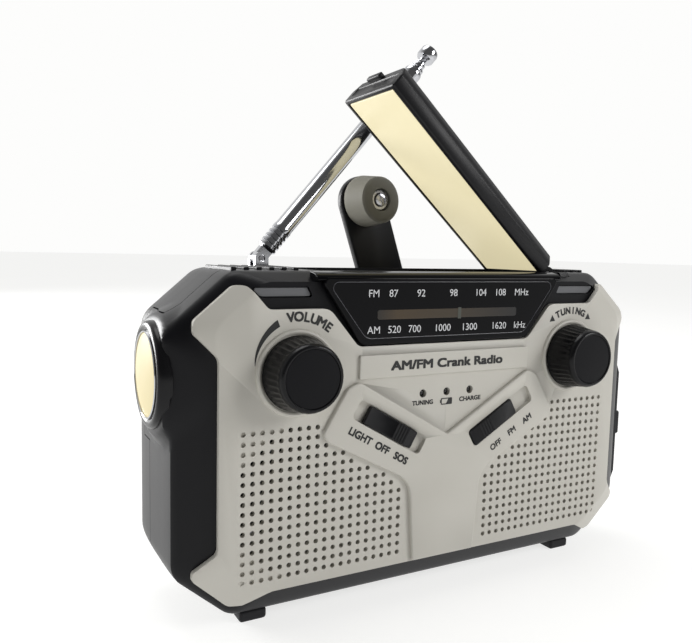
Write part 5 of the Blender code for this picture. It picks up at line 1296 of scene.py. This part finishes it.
def port_flap():
    """A rubber flap: a shallow hull with sloped ends, and its finger tab."""
    low, high = span("port_cover")
    inner, outer = low[0], low[0] + 2.2
    section = [(inner, low[2]), (inner + 0.7, low[2]), (outer, low[2] + 3.4)]
    section += [(outer, high[2] - 3.4), (inner + 0.7, high[2]), (inner, high[2])]
    rings = [[(x, y, z) for x, z in section] for y in (low[1], high[1])]
    flap = softened(loft("flap", rings), 0.6, 3, 25)
    centre = (low[2] + high[2]) / 2
    tab = block("flap_tab", (outer - 0.6, low[1] + 0.4, centre - 4.5), (high[0], low[1] + 5.0, centre + 3.5))
    join(flap, softened(tab, 0.7, 3))
    hollow_low = (outer - 0.35, low[1] + 7.5, low[2] + 6.5)
    hollow_high = (outer + 1, high[1] - 3.0, high[2] - 6.5)
    cut(flap, softened(block("flap_hollow", hollow_low, hollow_high), 0.3, 2))
    flap.data.materials.append(RUBBER)
    settle(shaded(flap, 28), "port_flap", "port_cover")


# --- Finishes of the CAD pieces that stay ---------------------------------------------------------------


def repaint(material, *names):
    """Gives CAD nodes that stay a finish in place of their own."""
    for name in names:
        mesh = NODES[name].data
        mesh.materials.clear()
        mesh.materials.append(material)


def carried_over():
    """Finishes of the pieces inside, which stand as the CAD made them."""
    repaint(STEEL, "volume_shaft", "tuning_shaft", "volume_control", "usb_socket", "lamp_hinge_pin")
    repaint(STEEL, "antenna_pin", "crank_fold_pin", "dynamo_body", "speaker_frame")
    repaint(ACETAL, "crank_gear", "idler_gear", "dynamo_pinion")
    # Glass-fibre laminate under green solder mask: dark, with a wet-looking sheen
    mask = moulded("green_solder_mask", ("#12401F", "#185228"), (0.3, 0.42))
    repaint(mask, "main_board", "switch_board")
    # The lamps' boards have a white mask, to throw their light forward
    white_mask = moulded("white_solder_mask", ("#E6E5DE", "#EFEEE8"), (0.4, 0.5))
    repaint(white_mask, "lamp_led_strip", "flashlight_led_board")
    # Coated paper of the loudspeaker's cone, pressed from pulp
    pulp = moulded("paper_pulp", ("#1B1B1B", "#262626"), (0.8, 0.9), 0.9, 0.05)
    repaint(pulp, "speaker_cone")
    # Sintered ferrite: charcoal grey and dull
    repaint(moulded("ferrite", ("#26262A", "#303034"), (0.5, 0.6), 0.7, 0.02), "speaker_magnet")
    # Printed PVC shrink film of the cell: even blue, slightly glossy
    repaint(moulded("blue_shrink_film", ("#1E5C96", "#2568A6"), (0.25, 0.35)), "battery_cell")
    # Polycarbonate case of the tuning capacitor, milky and glossy
    repaint(moulded("clear_film_housing", ("#B9B9B0", "#C6C6BD"), (0.2, 0.3)), "tuning_capacitor")
    # Coated card of the dial's scale, near black
    repaint(moulded("black_card", ("#161616", "#1C1C1C"), (0.7, 0.8)), "dial_scale")
    # Red styrene of the pointer, moulded smooth
    repaint(moulded("red_styrene", ("#A03A2A", "#B04434"), (0.4, 0.5)), "dial_pointer")


# --- Camera, floor and light ------------------------------------------------------------------------


CAMERA_X, CAMERA_DEPTH, CAMERA_Z = -120.0, -160.3, 96.7
FLOOR = 9000


def camera():
    """The camera's place and turn, in the frame's millimetres."""
    data = bpy.data.cameras.new("camera")
    data.lens = 37.43
    data.sensor_width = 36.0
    data.shift_x = 0.0016
    data.shift_y = 0.0033
    data.clip_start = 0.01
    obj = bpy.data.objects.new("camera", data)
    right = Vector((0.8794, -0.4755, 0.0221))
    up = Vector((0.0287, 0.0994, 0.9946))
    back = right.cross(up)
    turn = Matrix((right, back.cross(right), back)).transposed().to_4x4()
    obj.matrix_world = Matrix.Translation(Vector((CAMERA_X, at(CAMERA_DEPTH), CAMERA_Z)) * MM) @ turn
    bpy.context.scene.collection.objects.link(obj)
    bpy.context.scene.camera = obj


def room():
    """A white backdrop, in a room that is dim in front of the object and pale behind it."""
    world = bpy.data.worlds.new("pale_room")
    world.use_nodes = True
    tree = world.node_tree
    shade = tree.nodes["Background"]
    shade.inputs["Color"].default_value = linear("#FDFDFC")
    axes = add(tree, "SeparateXYZ", links={0: add(tree, "TexCoord").outputs["Generated"]})
    spread = {"From Min": -0.35, "From Max": 0.7, "To Min": 0.12, "To Max": 1.0}
    pale = add(tree, "MapRange", spread, {"Value": axes.outputs["Y"]})
    seen = add(tree, "LightPath").outputs["Is Camera Ray"]
    strength = add(tree, "Mix", {"B": 1.0}, {"Factor": seen, "A": pale.outputs[0]})
    tree.links.new(strength.outputs[0], shade.inputs["Strength"])
    bpy.context.scene.world = world


def studio():
    """A plain pale floor, a pale world and three soft lamps."""
    # Pale background paper, evenly lit from all round
    paper, tree, main, coordinates = start("pale_paper", Roughness=0.9, Specular_IOR_Level=0.0)
    mottled(tree, main, coordinates, ("#A3A3A2", "#A8A8A7"), 400, (0.85, 0.95))
    main.inputs["Emission Color"].default_value = linear("#FDFDFC")
    main.inputs["Emission Strength"].default_value = 0.74
    floor = block("floor", (-FLOOR, -FLOOR, -8), (FLOOR, FLOOR, -0.02), paper)
    floor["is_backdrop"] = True
    room()
    bpy.context.scene.view_settings.view_transform = "Standard"
    lamps = (
        ("key_light", (380, -420, 330), 260, 1.7),
        ("side_light", (-700, 1000, 250), 700, 22.0),
        ("top_light", (-100, 200, 1000), 600, 3.0),
    )
    target = Vector((0, 0, 55)) * MM
    for name, spot, size, power in lamps:
        data = bpy.data.lights.new(name, "AREA")
        data.shape = "DISK"
        data.size = size * MM
        data.energy = power
        obj = bpy.data.objects.new(name, data)
        obj.location = Vector(spot) * MM
        obj.rotation_euler = (target - obj.location).to_track_quat("-Z", "Y").to_euler()
        bpy.context.scene.collection.objects.link(obj)


camera()
studio()
front_shell()
rear_shell()
rim_bands()
top_ribs()
front_panel()
printing()
dial()
controls()
flashlight()
lamp_bar()
lamp_tray()
antenna()
crank()
battery_door()
feet()
screws()
port_flap()
carried_over()

[[list(corner) for corner in box] for box in (cad_box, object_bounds())]
